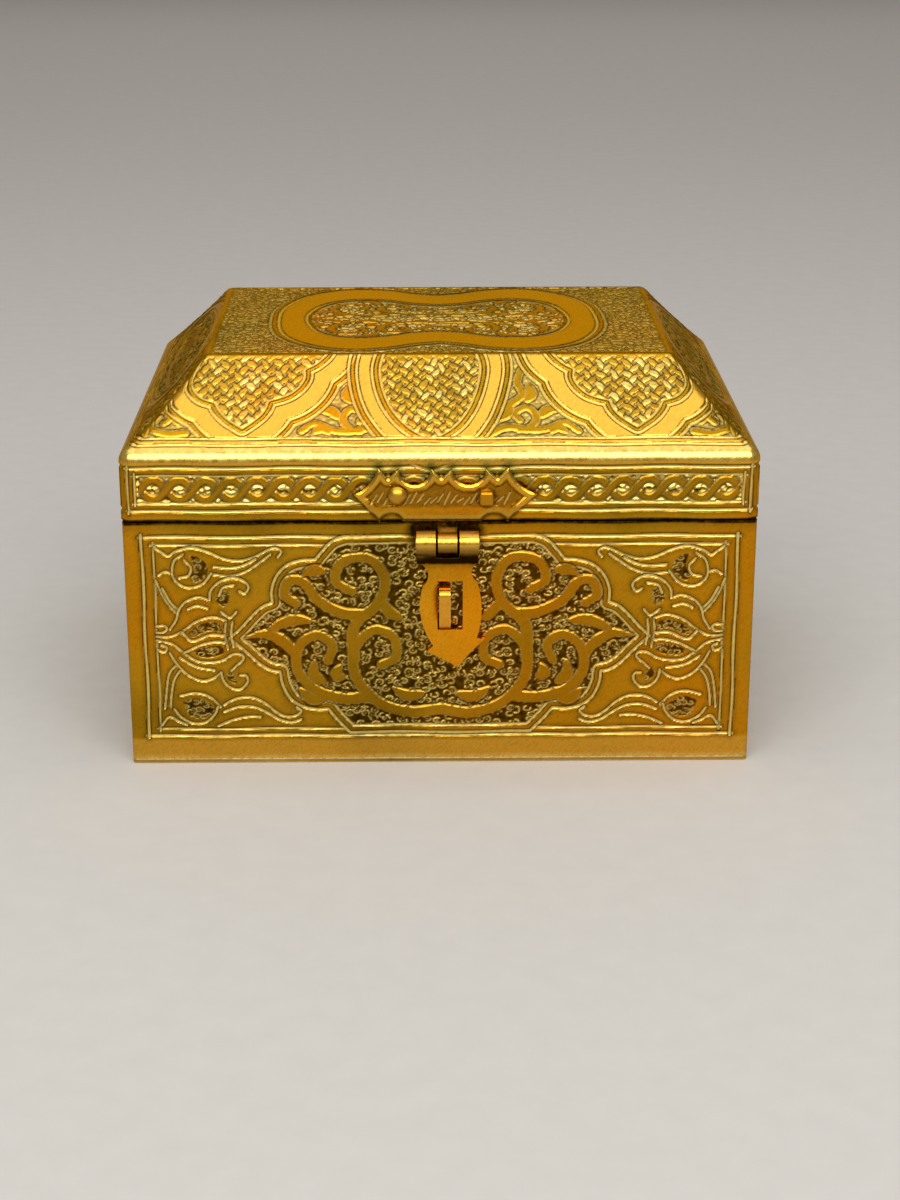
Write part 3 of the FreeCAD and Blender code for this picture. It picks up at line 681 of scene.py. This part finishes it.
def wall_form(half_along, half_out, side):
    """An upright wall with its half of each rounded corner."""
    flat = half_along - body_corner_radius
    end = flat + body_corner_radius * math.pi / 4

    def spot(across, up):
        return (2 * across - 1) * end, base_sheet + up * (body_height - base_sheet)

    def put(across, up, depth):
        along, height = spot(across, up)
        bend = np.clip(np.abs(along) - flat, 0, None) / body_corner_radius
        left = body_corner_radius - depth
        along = np.sign(along) * (np.minimum(np.abs(along), flat) + left * np.sin(bend))
        return turned(along, half_out - body_corner_radius + left * np.cos(bend), height, side)

    return spot, put


def unit(vectors):
    """Vectors of length one."""
    return vectors / np.linalg.norm(vectors, axis=-1, keepdims=True)


def skirt_form(half_along, half_out, side):
    """A side of the lid: upright rim, rounded shoulder, slope, and half of the rounding to the top."""

    def bent(across, up):
        along_sheet = up * skirt_length
        round_shoulder = ramp(along_sheet, rim_flat, rim_flat + shoulder_arc)
        slope = ramp(along_sheet, rim_flat + shoulder_arc, skirt_length - crown_arc)
        crown = ramp(along_sheet, skirt_length - crown_arc, skirt_length)
        tilt = round_shoulder * lean
        inward = shoulder_core * (1 - np.cos(tilt)) + slope * slope_run
        height = lid_bottom + np.minimum(along_sheet, rim_flat) + shoulder_core * np.sin(tilt)
        height = height + slope * slope_rise
        tilt = tilt + crown * slope_angle / 2
        middle = np.column_stack([np.zeros(len(up)), np.cos(tilt), np.sin(tilt)])
        low = np.minimum(tilt, lean)
        hip = unit(np.column_stack([np.cos(low), np.cos(low), 2 * np.sin(low)]))
        peak = unit(np.array([1.0, 1.0, crown_steep]))
        hip = unit(hip * (1 - crown)[:, None] + peak * crown[:, None])
        flat = half_along - lid_round - inward
        curve = lid_round * np.arccos(np.clip((middle * hip).sum(1), -1, 1))
        along = (2 * across - 1) * (flat + curve)
        return along_sheet, along, flat, curve, inward, height, middle, hip

    def spot(across, up):
        along_sheet, along, flat, curve = bent(across, up)[:4]
        return along, along_sheet, np.minimum(flat + curve - np.abs(along), skirt_length - along_sheet)

    def put(across, up, depth):
        along_sheet, along, flat, curve, inward, height, middle, hip = bent(across, up)
        share = np.clip((np.abs(along) - flat) / curve, 0, 1)[:, None]
        facing = unit(middle * (1 - share) + hip * share) * (lid_round - depth)[:, None]
        far = np.minimum(np.abs(along), flat) + facing[:, 0]
        place = np.column_stack([far, half_out - lid_round - inward + facing[:, 1], height + facing[:, 2]])
        # Beaten softer along the hip than at its ends
        up_slope = (along_sheet - rim_flat - shoulder_arc) / slope_flat
        soft = lid_round + (hip_round - lid_round) * hump(up_slope, 0.0, 0.3, 0.75, 1.0)
        normals = np.array([[0, math.cos(lean), math.sin(lean)], [math.cos(lean), 0, math.sin(lean)]])
        on_hip = np.array([half_along, half_out, shoulder_height])
        away = (place - on_hip) @ normals.T + soft[:, None]
        turn = normals[0] @ normals[1]
        shares = (away - turn * away[:, ::-1]) / (1 - turn**2)
        arm = np.clip(shares, 0, None) @ normals
        length = np.linalg.norm(arm, axis=1)
        beyond = (shares > 0).all(1) & (up_slope > 0) & (soft > lid_round)
        place[beyond] += (arm * ((soft - depth) / np.maximum(length, 1e-9) - 1)[:, None])[beyond]
        return turned(np.sign(along) * place[:, 0], place[:, 1], place[:, 2], side)

    return spot, put


def crown_form():
    """The flat top with half of the rounding along each edge."""
    half_x = lid_half_width - crown_shrink
    half_y = lid_half_depth - crown_shrink

    def spot(across, up):
        x = (2 * across - 1) * (half_x + crown_arc)
        y = (2 * up - 1) * (half_y + crown_arc)
        return x, y, np.minimum(half_x + crown_arc - np.abs(x), half_y + crown_arc - np.abs(y))

    def put(across, up, depth):
        x, y = spot(across, up)[:2]
        sx = ramp(np.abs(x), half_x, half_x + crown_arc)[:, None]
        sy = ramp(np.abs(y), half_y, half_y + crown_arc)[:, None]
        lean_x, lean_y, peak = (unit(np.array([*way, crown_steep])) for way in ((1, 0), (0, 1), (1, 1)))
        facing = np.array([0.0, 0.0, 1.0]) * (1 - sx) * (1 - sy) + lean_x * sx * (1 - sy)
        facing = facing + lean_y * sy * (1 - sx) + peak * sx * sy
        facing = unit(facing) * (lid_round - depth)[:, None]
        far_x = np.minimum(np.abs(x), half_x) + facing[:, 0]
        far_y = np.minimum(np.abs(y), half_y) + facing[:, 1]
        height = lid_top_height - lid_round + facing[:, 2]
        return np.column_stack([np.sign(x) * far_x, np.sign(y) * far_y, height])

    return spot, put


# Materials

def linear(code):
    """A colour written as sRGB hex, as linear light."""
    parts = [int(code[i:i + 2], 16) / 255 for i in (1, 3, 5)]
    return tuple(c / 12.92 if c <= 0.04045 else ((c + 0.055) / 1.055) ** 2.4 for c in parts) + (1.0,)


def add(tree, kind, sockets=(), **settings):
    """One node with its settings, and its sockets set or linked."""
    made = tree.nodes.new("ShaderNode" + kind)
    for key, value in settings.items():
        setattr(made, key, value)
    for key, value in dict(sockets).items():
        if isinstance(value, bpy.types.NodeSocket):
            tree.links.new(value, made.inputs[key])
        else:
            made.inputs[key].default_value = value
    return made


def noise(tree, place, size, detail, roughness=0.5):
    """Cloudy noise of about a size in millimetres."""
    sockets = {"Vector": place, "Scale": 1 / (size * MM), "Detail": detail, "Roughness": roughness}
    return add(tree, "TexNoise", sockets).outputs[0]


def spread(tree, value, low, high, start, end):
    """A value between low and high, as one between start and end."""
    return add(tree, "MapRange", {0: value, 1: low, 2: high, 3: start, 4: end}).outputs[0]


def reckoned(tree, operation, *values, clamp=False):
    """A sum or a product of values."""
    return add(tree, "Math", dict(enumerate(values)), operation=operation, use_clamp=clamp).outputs[0]


def tinted(tree, colour, amount, code):
    """A colour with an amount of another laid over it."""
    return add(tree, "Mix", {0: amount, 6: colour, 7: linear(code)}, data_type="RGBA").outputs[2]


def brass(name, field, cloud, flush, polished, ground, patina, worn, smoothness, brushed):
    """Brass sheet: worked places follow the piece's own marks, and tarnish drifts over the rest."""
    material = bpy.data.materials.new(name)
    material.use_nodes = True
    tree = material.node_tree
    shader = tree.nodes["Principled BSDF"]
    shader.inputs["Metallic"].default_value = 1.0
    shader.inputs["Specular Tint"].default_value = linear("#F2C870")
    place = add(tree, "TexCoord").outputs["Object"]
    marks = add(tree, "Attribute", attribute_name="chasing")
    cut, sunk, polish = add(tree, "SeparateColor", {0: marks.outputs["Color"]}).outputs
    # Tarnish in clouds about 14 and 38 mm across, and a mottle of about 1.2 mm
    drift = noise(tree, place, size=14, detail=4.0, roughness=0.6)
    broad = noise(tree, place, size=38, detail=3.0, roughness=0.55)
    mottle = noise(tree, place, size=1.2, detail=3.0, roughness=0.65)
    colour = tinted(tree, linear(field), spread(tree, drift, 0.35, 0.68, 0.0, 1.0), cloud)
    colour = tinted(tree, colour, spread(tree, broad, 0.48, 0.68, 0.0, 0.75), flush)
    colour = tinted(tree, colour, spread(tree, broad, 0.48, 0.32, 0.0, 0.5), patina)
    colour = tinted(tree, colour, polish, polished)
    colour = tinted(tree, colour, reckoned(tree, "MULTIPLY", sunk, 0.8), ground)
    # Brown patina stays in the cuts, thinner where the mottle is light; the same mark carries painted shade in
    # corners, under the lid and round the hasp
    deep = spread(tree, mottle, 0.3, 0.7, 0.75, 1.0)
    stain_and_shade = reckoned(tree, "MULTIPLY", cut, deep, clamp=True)
    colour = tinted(tree, colour, stain_and_shade, patina)
    bare = spread(tree, mottle, 0.38, 0.62, 0.4, 0.8)
    colour = tinted(tree, colour, reckoned(tree, "MULTIPLY", marks.outputs["Alpha"], bare), worn)
    crust = add(tree, "Attribute", attribute_name="verdigris").outputs["Fac"]
    crust = reckoned(tree, "MULTIPLY", crust, deep, clamp=True)
    colour = tinted(tree, colour, reckoned(tree, "MULTIPLY", crust, 0.6), "#76803A")
    # Fine slanting brush lines, about 0.3 mm apart and 9 mm long
    turn = {"Vector": place, "Rotation": (0.78, 0.0, -1.06), "Scale": (1.0, 30.0, 1.0)}
    slant = add(tree, "Mapping", turn, vector_type="TEXTURE").outputs[0]
    lines = noise(tree, slant, size=0.3, detail=2.0)
    colour = tinted(tree, colour, spread(tree, lines, 0.5, 0.75, 0.0, 0.22), patina)
    tree.links.new(colour, shader.inputs["Base Color"])
    dull = spread(tree, mottle, 0.25, 0.75, smoothness - 0.06, smoothness + 0.1)
    for mark, more in ((stain_and_shade, 0.15), (sunk, 0.1), (polish, -0.03)):
        dull = reckoned(tree, "MULTIPLY_ADD", mark, more, dull)
    tree.links.new(dull, shader.inputs["Roughness"])
    grain = reckoned(tree, "ADD", lines, mottle)
    bump = add(tree, "Bump", {"Strength": brushed, "Distance": 0.06 * MM, "Height": grain}).outputs[0]
    tree.links.new(bump, shader.inputs["Normal"])
    return material


# The brass of each slot, with its colours: field, cloud, flush, polish, ground, patina and wear
finishes = {
    # Chased sheet: olive gold where it was handled little, warm where polished, brown in the cuts
    "engraved_brass": brass(
        "brass_sheet_chased",
        "#B88812", "#C6921C", "#D88608", "#E8B040", "#F2DC82", "#241502", "#F6E68C",
        smoothness=0.28, brushed=0.3,
    ),
    # Filed sheet of the hasp and the hinges: warmer and smoother, bright along the filed edges
    "hasp_brass": brass(
        "brass_sheet_filed",
        "#E29C16", "#EEA41C", "#F69408", "#E4AC38", "#C4942C", "#241502", "#F2D880",
        smoothness=0.26, brushed=0.25,
    ),
    # Plain sheet under the box: duller, with the colour of bare metal at its edge
    "plain_brass": brass(
        "brass_sheet_plain",
        "#B48A34", "#C8A050", "#C89030", "#D8B870", "#B08A40", "#3A2608", "#F0DCA0",
        smoothness=0.36, brushed=0.3,
    ),
    # Hammered rivet heads, rubbed by the hand
    "rivet_brass": brass(
        "brass_rivet_hammered",
        "#B4801A", "#C08C24", "#C88818", "#E8B84C", "#B08A30", "#2A1904", "#F0DCA0",
        smoothness=0.34, brushed=0.3,
    ),
    # Drawn wire of the pins
    "pin_brass": brass(
        "brass_wire_drawn",
        "#B08428", "#C0943A", "#B88828", "#D8B058", "#A07C30", "#2A1904", "#E8D090",
        smoothness=0.32, brushed=0.2,
    ),
}


# Pieces

def to_mesh(bm, name):
    """The finished mesh of a form."""
    mesh = bpy.data.meshes.new(name)
    bm.to_mesh(mesh)
    bm.free()
    return mesh


def solid_of(node):
    """A copy of a node's solid, its doubled corners joined."""
    bm = bmesh.new()
    bm.from_mesh(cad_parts[node].data)
    bmesh.ops.remove_doubles(bm, verts=bm.verts[:], dist=0.001 * MM)
    return bm


def places(mesh):
    """Where the points of a mesh lie."""
    flat = np.zeros(len(mesh.vertices) * 3)
    mesh.vertices.foreach_get("co", flat)
    return flat.reshape(-1, 3)


def shown(name, data):
    """A new object in the scene."""
    made = bpy.data.objects.new(name, data)
    bpy.context.scene.collection.objects.link(made)
    return made


def finish_piece(mesh, body, slot, node):
    """A finished mesh as a piece of the casket that stands for a node, or for a part of it."""
    mesh.materials.clear()
    mesh.materials.append(finishes[slot])
    piece = shown(mesh.name, mesh)
    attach(piece, body)
    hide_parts(node)


def finish_skin(mesh, place, skin, where, inside_darkening=0.0):
    """Puts a mesh's points in place, and marks how each of the outer ones was worked."""
    mesh.vertices.foreach_set("co", (place * MM).ravel())
    marks = np.tile([inside_darkening, 0.0, 0.0, 0.0], (len(place), 1))
    marks[where] = np.column_stack([skin.cut, skin.ground, skin.polish, skin.wear])
    mesh.attributes.new("chasing", "FLOAT_COLOR", "POINT").data.foreach_set("color", marks.ravel())
    green = np.zeros(len(place))
    green[where] = skin.green
    mesh.attributes.new("verdigris", "FLOAT", "POINT").data.foreach_set("value", green)


def engraved_sheet(node, body, grid, back_rows, thickness, form, chase, which=(), start=0.0, end=1.0):
    """One sheet, or its length from start to end: engraved outside, plain inside, closed along its edges."""
    spot, put = form
    columns, rows = grid
    bm = bmesh.new()
    bmesh.ops.create_grid(bm, x_segments=columns, y_segments=rows, size=0.5)
    outside = len(bm.verts)
    behind = Matrix.Translation((0, 0, -1))
    bmesh.ops.create_grid(bm, x_segments=columns, y_segments=len(back_rows) - 1, size=0.5, matrix=behind)
    bm.faces.ensure_lookup_table()
    bmesh.ops.reverse_faces(bm, faces=bm.faces[columns * rows:])
    plain_faces = len(bm.faces)
    for edge in (-0.5, 0.5):
        rim = [e for e in bm.edges if e.is_boundary and all(abs(v.co.y - edge) < 1e-5 for v in e.verts)]
        bmesh.ops.bridge_loops(bm, edges=rim)
    bmesh.ops.holes_fill(bm, edges=[e for e in bm.edges if e.is_boundary], sides=0)
    bmesh.ops.recalc_face_normals(bm, faces=bm.faces[:])
    bm.faces.ensure_lookup_table()
    for face in bm.faces[plain_faces:]:
        for edge in face.edges:
            edge.smooth = False
    end_name = "" if end - start == 1 else "_left" if start == 0 else "_right"
    mesh = to_mesh(bm, node + "_engraved" + end_name)

    across, up = places(mesh).T[:2] + 0.5
    across = start + (end - start) * across
    up[outside:] = np.array(back_rows)[np.rint(up[outside:] * (len(back_rows) - 1)).astype(int)]
    x, y, *to_edge = spot(across[:outside], up[:outside])
    skin = Skin(x, y)
    chase(skin, *to_edge, *which)
    depth = np.full(len(across), thickness)
    depth[:outside] = skin.depth
    # The inside is darkened all over towards the patina
    finish_skin(mesh, put(across, up, depth), skin, slice(0, outside), inside_darkening=0.45)
    mesh.polygons.foreach_set("use_smooth", np.arange(len(mesh.polygons)) < plain_faces)
    mesh.update()
    finish_piece(mesh, body, "engraved_brass", node)


# Each side: half its length, how far out it is, the spans of its pieces, and the grids of wall and lid
sides = {
    "front": (half_width, half_depth, [(0.0, 0.5), (0.5, 1.0)], (300, 241), (300, 190)),
    "back": (half_width, half_depth, [(0.0, 1.0)], (400, 162), (400, 134)),
    "left": (half_depth, half_width, [(0.0, 1.0)], (360, 188), (360, 150)),
    "right": (half_depth, half_width, [(0.0, 1.0)], (360, 188), (360, 150)),
}
for side, (along, out, spans, grid, _) in sides.items():
    form, which = wall_form(along, out, side), (along, side == "front")
    for span in spans:
        engraved_sheet(side + "_wall", "box", grid, [0, 1], wall_sheet, form, chase_wall, which, *span)

bends = [0.0] + [(rim_flat + shoulder_arc * i / 6) / skirt_length for i in range(7)]
bends += [1 - crown_arc / skirt_length, 1.0]
lid_over = lid_half_width - half_width
for side, (along, out, spans, _, grid) in sides.items():
    form, which = skirt_form(along + lid_over, out + lid_over, side), (along + lid_over, side == "front")
    for span in spans:
        engraved_sheet("lid_" + side, "lid", grid, bends, lid_sheet, form, chase_lid_side, which, *span)
crown_share = crown_arc / (2 * (lid_half_depth - crown_shrink + crown_arc))
top_rows = [0, crown_share, 1 - crown_share, 1]
engraved_sheet("lid_top", "lid", (372, 252), top_rows, lid_sheet, crown_form(), chase_lid_top)

# How far from the middle of a barrel its own surface reaches
barrel_reach = 2.7


def filed_copy(node, body, slot, edge, below=None, barrel=None, darkening_at_heights=(), rubbed=0.0):
    """A piece with the form of its solid, or its part below a height: corners filed and rubbed bright."""
    bm = solid_of(node)
    sharp = math.radians(32)

    def cut_at(height, **how):
        geom = bm.verts[:] + bm.edges[:] + bm.faces[:]
        bmesh.ops.bisect_plane(bm, geom=geom, plane_co=(0, 0, height * MM), plane_no=(0, 0, 1), **how)

    if below is not None:
        cut_at(below, clear_outer=True)
        bmesh.ops.holes_fill(bm, edges=[e for e in bm.edges if e.is_boundary], sides=0)
    bmesh.ops.dissolve_limit(bm, angle_limit=math.radians(1.0), verts=bm.verts[:], edges=bm.edges[:])
    for height, _ in darkening_at_heights:
        cut_at(height)
    marks = bm.loops.layers.float_color.new("chasing")
    corners = [e for e in bm.edges if e.is_manifold and e.calc_face_angle(0) > sharp]
    made = bmesh.ops.bevel(
        bm, geom=corners, offset=edge * MM, offset_type="OFFSET", affect="EDGES", segments=2,
        profile=0.5, material=-1, clamp_overlap=True,
    )
    filed = set(made["faces"])
    for face in bm.faces:
        face.smooth = True
        for loop in face.loops:
            darkening = np.interp(loop.vert.co.z / MM, *zip(*darkening_at_heights)) if darkening_at_heights else 0
            loop[marks] = (darkening / 2, 0, 0.8, 0.6) if face in filed else (darkening, 0, rubbed, rubbed)
            if barrel:
                # Painted shade above and below a barrel, where its round turns from the light; the rest of it
                # is polished
                out, up = loop.vert.co.y / MM - barrel[0], loop.vert.co.z / MM - barrel[1]
                if math.hypot(out, up) < barrel_reach:
                    rise = up / max(math.hypot(out, up), 0.1)
                    darkening = max(np.interp(rise, (-0.4, 0.15), (0.9, 0)), np.interp(rise, (0.6, 0.9), (0, 0.8)))
                    loop[marks] = (darkening, 0, 0.8, 0.2)
    mesh = to_mesh(bm, node + "_filed")
    mesh.set_sharp_from_angle(angle=sharp)
    finish_piece(mesh, body, slot, node)


def scalloped_plate():
    """The plate of the hasp: a raised border along its scalloped edge, a sunk field and a plain lower band."""
    ring = hasp_plate_ring()
    low, high = ring.min(0), ring.max(0)
    bm = bmesh.new()
    # A point of the grid each fifth of a millimetre
    bmesh.ops.create_grid(bm, x_segments=172, y_segments=53, size=0.5)
    x, z = ((np.array([v.co.xy for v in bm.verts]) + 0.5) * (high - low) + low).T
    gap, along = ring_gap(ring, x, z, far=3.0)
    # The edge of the grid is drawn onto the outline
    loop = np.vstack([ring, ring[:1]])
    run = np.concatenate([[0], np.cumsum(np.hypot(*np.diff(loop, axis=0).T))])
    edge = gap > -0.1
    x[edge] = np.interp(along[edge], run, loop[:, 0])
    z[edge] = np.interp(along[edge], run, loop[:, 1])
    outside = [v for v, away in zip(bm.verts, gap) if away > 0.12]
    for vert, across, height in zip(bm.verts, x, z):
        vert.co = (across, -hasp_plate_front, height)
    bmesh.ops.delete(bm, geom=outside, context="VERTS")
    bmesh.ops.remove_doubles(bm, verts=bm.verts[:], dist=0.01)
    bmesh.ops.solidify(bm, geom=bm.faces[:], thickness=hasp_plate_sheet)
    bmesh.ops.recalc_face_normals(bm, faces=bm.faces[:])
    mesh = to_mesh(bm, "hasp_plate_scalloped")

    place = places(mesh)
    on_front = place[:, 1] < -hasp_plate_front + 0.01
    x, z = place[on_front, 0], place[on_front, 2]
    inside = -ring_gap(ring, x, z, far=3.0)[0]
    skin = Skin(x, z)
    skin.stippled(ramp(inside, 1.25, 1.6), deepest=0.45, blow=1.3, seed=21)
    skin.add_dirt_and_shade(0.6 * ramp(inside, 1.2, 1.5))
    skin.add_dirt_and_shade(0.9 * hump(inside, 1.2, 1.4, 1.6, 1.9))
    for points in hasp_plate_strokes:
        gap, along = reach(smooth(points), x, z, dirt_reach)
        skin.groove(gap, along, width=0.6, deep=0.5, stroke=3.0)
        skin.rub(0.6 * ramp(gap, 0.22, 0.08))
    band_edge = z + 0.08 * np.sin(1.1 * x)
    skin.sink(ramp(band_edge, hasp_plate_band, hasp_plate_band - 0.4), depth=0.32, cut=0.3, ground=0.0)
    for side in ("left", "right"):
        box = np.array(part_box("hasp_" + side + "_rivet")) / MM
        centre = box.mean(0)
        away = np.hypot(x - centre[0], z - centre[2])
        # Painted shade in a ring round each rivet's head
        skin.add_dirt_and_shade(0.9 * ramp(away, 2.4, 1.9))
        skin.lift(ramp(away, 1.75, 1.5), cut=0.9)
    # The border is rounded over like a cord
    border_middle, border_half = 0.65, 0.75
    border = np.clip(np.abs(inside - border_middle) / border_half, 0, 1)
    border = border * (inside < border_middle + border_half)
    skin.depth = np.maximum(skin.depth, 0.42 * border**1.5)
    skin.polish = hump(inside, 0.0, 0.3, 0.9, 1.3)
    # Painted shade along the plate's lower edge, above the barrel
    skin.add_dirt_and_shade(0.95 * ramp(inside, 0.55, 0.25) * ramp(z, 52.0, 51.2))
    skin.green = ramp(z, 56.5, 58.5) * ramp(inside, 0.9, 0.2)
    place[on_front, 1] += skin.depth
    finish_skin(mesh, place, skin, on_front)
    mesh.polygons.foreach_set("use_smooth", np.ones(len(mesh.polygons), bool))
    mesh.update()
    mesh.set_sharp_from_angle(angle=math.radians(50))
    finish_piece(mesh, "lid", "hasp_brass", "hasp_plate")


def domed_rivets(node, body, head_height, shank, tail, tail_height):
    """Rivets with hammered domes, spun from half their outline, one in place of each of the node's solids."""
    solid = solid_of(node)
    left = set(solid.verts)
    bm = bmesh.new()
    while left:
        found = [left.pop()]
        for vert in found:
            for edge in vert.link_edges:
                other = edge.other_vert(vert)
                if other in left:
                    left.remove(other)
                    found.append(other)
        place = np.array([v.co for v in found]) / MM
        low, high = place.min(0), place.max(0)
        x, z = (low[0] + high[0]) / 2, (low[2] + high[2]) / 2
        radius = (high[0] - low[0]) / 2
        facing = 1 if low[1] > 0 else -1
        front, back = (high[1], low[1]) if facing > 0 else (low[1], high[1])
        ball = (radius**2 + head_height**2) / (2 * head_height)
        swing = np.linspace(0, math.asin(radius / ball), 9)
        outline = [(ball * math.sin(t), ball * (1 - math.cos(t))) for t in swing]
        reach_back = abs(front - back)
        neck = reach_back - tail_height
        outline += [(shank / 2, head_height), (shank / 2, neck), (tail / 2, neck), (tail / 2, reach_back)]
        outline.append((0.0, reach_back))
        verts = [bm.verts.new((x + r, front - facing * d, z)) for r, d in outline]
        edges = [bm.edges.new(pair) for pair in zip(verts, verts[1:])]
        bmesh.ops.spin(
            bm, geom=verts + edges, cent=(x, front, z), axis=(0, 1, 0), angle=2 * math.pi, steps=28,
            use_merge=True,
        )
    solid.free()
    bmesh.ops.remove_doubles(bm, verts=bm.verts[:], dist=0.001)
    bmesh.ops.recalc_face_normals(bm, faces=bm.faces[:])
    bmesh.ops.scale(bm, vec=(MM, MM, MM), verts=bm.verts[:])
    marks = bm.loops.layers.float_color.new("chasing")
    for face in bm.faces:
        face.smooth = True
        for loop in face.loops:
            loop[marks] = (0, 0, 0.3, 0)
    mesh = to_mesh(bm, node + "_domed")
    mesh.set_sharp_from_angle(angle=math.radians(40))
    finish_piece(mesh, body, "rivet_brass", node)


# The middle of the hasp's barrel, across the depth and up
hasp_barrel = (-48.75, 45.9)
# Rivets: height of the head, width of the shank, width and height of the tail
hinge_rivet = (0.7, 1.5, 2.3, 0.4)
hasp_rivet = (0.9, 1.8, 2.8, 0.5)
# Darkening at heights of a piece: painted shade on the tab of the plate, painted shadow under the barrel
# fading down the tongue, painted shade on the pin between the knuckles, and a duller tone on the hinge leaves
tab_painted_shade = [(48.0, 0.4), (48.6, 1.1)]
tongue_painted_shadow = [(33.0, 0.0), (37.0, 0.15), (40.2, 0.3), (41.1, 0.6), (41.5, 1.3)]
pin_painted_shade = [(40.0, 1.2), (50.0, 1.2)]
leaf_dirt = [(35.0, 0.3), (60.0, 0.3)]

scalloped_plate()
filed_copy("base_plate", "box", "plain_brass", edge=0.25)
filed_copy("hasp_plate", "lid", "hasp_brass", edge=0.2, below=49.9, barrel=hasp_barrel, darkening_at_heights=tab_painted_shade)
filed_copy("hasp_tongue", "hasp", "hasp_brass", edge=0.4, barrel=hasp_barrel, darkening_at_heights=tongue_painted_shadow)
filed_copy("staple", "box", "hasp_brass", edge=0.15, rubbed=0.15)
filed_copy("hasp_pin", "lid", "pin_brass", edge=0.2, darkening_at_heights=pin_painted_shade)
for side in ("left", "right"):
    filed_copy(side + "_hinge_body_leaf", "box", "hasp_brass", edge=0.2, darkening_at_heights=leaf_dirt)
    filed_copy(side + "_hinge_lid_leaf", "lid", "hasp_brass", edge=0.2, darkening_at_heights=leaf_dirt)
    filed_copy(side + "_hinge_pin", "box", "pin_brass", edge=0.2)
    domed_rivets(side + "_hinge_body_rivets", "box", *hinge_rivet)
    domed_rivets(side + "_hinge_lid_rivets", "lid", *hinge_rivet)
domed_rivets("hasp_left_rivet", "lid", *hasp_rivet)
filed_copy("hasp_right_rivet", "lid", "rivet_brass", edge=0.08)


# Floor, light and camera

bm = bmesh.new()
bmesh.ops.create_grid(bm, x_segments=8, y_segments=8, size=4.0)
floor_mesh = to_mesh(bm, "floor")
floor = shown("floor", floor_mesh)
# Matt paper, pale and even
paper = bpy.data.materials.new("paper_matt")
paper.use_nodes = True
sheet = paper.node_tree
paper_shader = sheet.nodes["Principled BSDF"]
paper_shader.inputs["Roughness"].default_value = 0.9
fibres = noise(sheet, add(sheet, "TexCoord").outputs["Object"], size=6, detail=4.0)
sheet.links.new(tinted(sheet, linear("#BDBAB5"), fibres, "#C5C2BD"), paper_shader.inputs["Base Color"])
floor_mesh.materials.append(paper)


def soft_box(name, place, target, size, power):
    """A large soft lamp that faces a point."""
    lamp = bpy.data.lights.new(name, "AREA")
    lamp.shape = "RECTANGLE"
    lamp.size, lamp.size_y = size
    lamp.energy = power
    shade = shown(name, lamp)
    shade.location = place
    shade.rotation_euler = (shade.location - Vector(target)).to_track_quat("Z", "Y").to_euler()


soft_box("soft_box_above", place=(0.0, -0.1, 1.05), target=(0.0, 0.0, 0.06), size=(1.5, 0.7), power=4.3)
soft_box("soft_box_front", place=(0.0, -0.9, 0.78), target=(0.0, 0.0, 0.06), size=(1.6, 0.62), power=14.5)
soft_box("soft_box_back", place=(0.0, 1.5, 0.62), target=(0.0, 0.0, 0.07), size=(1.6, 0.5), power=1.4)

world = bpy.data.worlds.new("studio")
world.use_nodes = True
sky = world.node_tree.nodes["Background"].inputs
sky["Color"].default_value = linear("#B9B4AC")
sky["Strength"].default_value = 0.6
bpy.context.scene.world = world

camera_data = bpy.data.cameras.new("camera")
camera_data.lens = 70.43
camera = shown("camera", camera_data)
camera.location = (-0.00421, -0.46837, 0.18296)
camera.rotation_euler = (math.radians(90 - 19.481), 0.0, math.radians(-0.822))
bpy.context.scene.camera = camera
bpy.context.scene.view_settings.view_transform = "Standard"
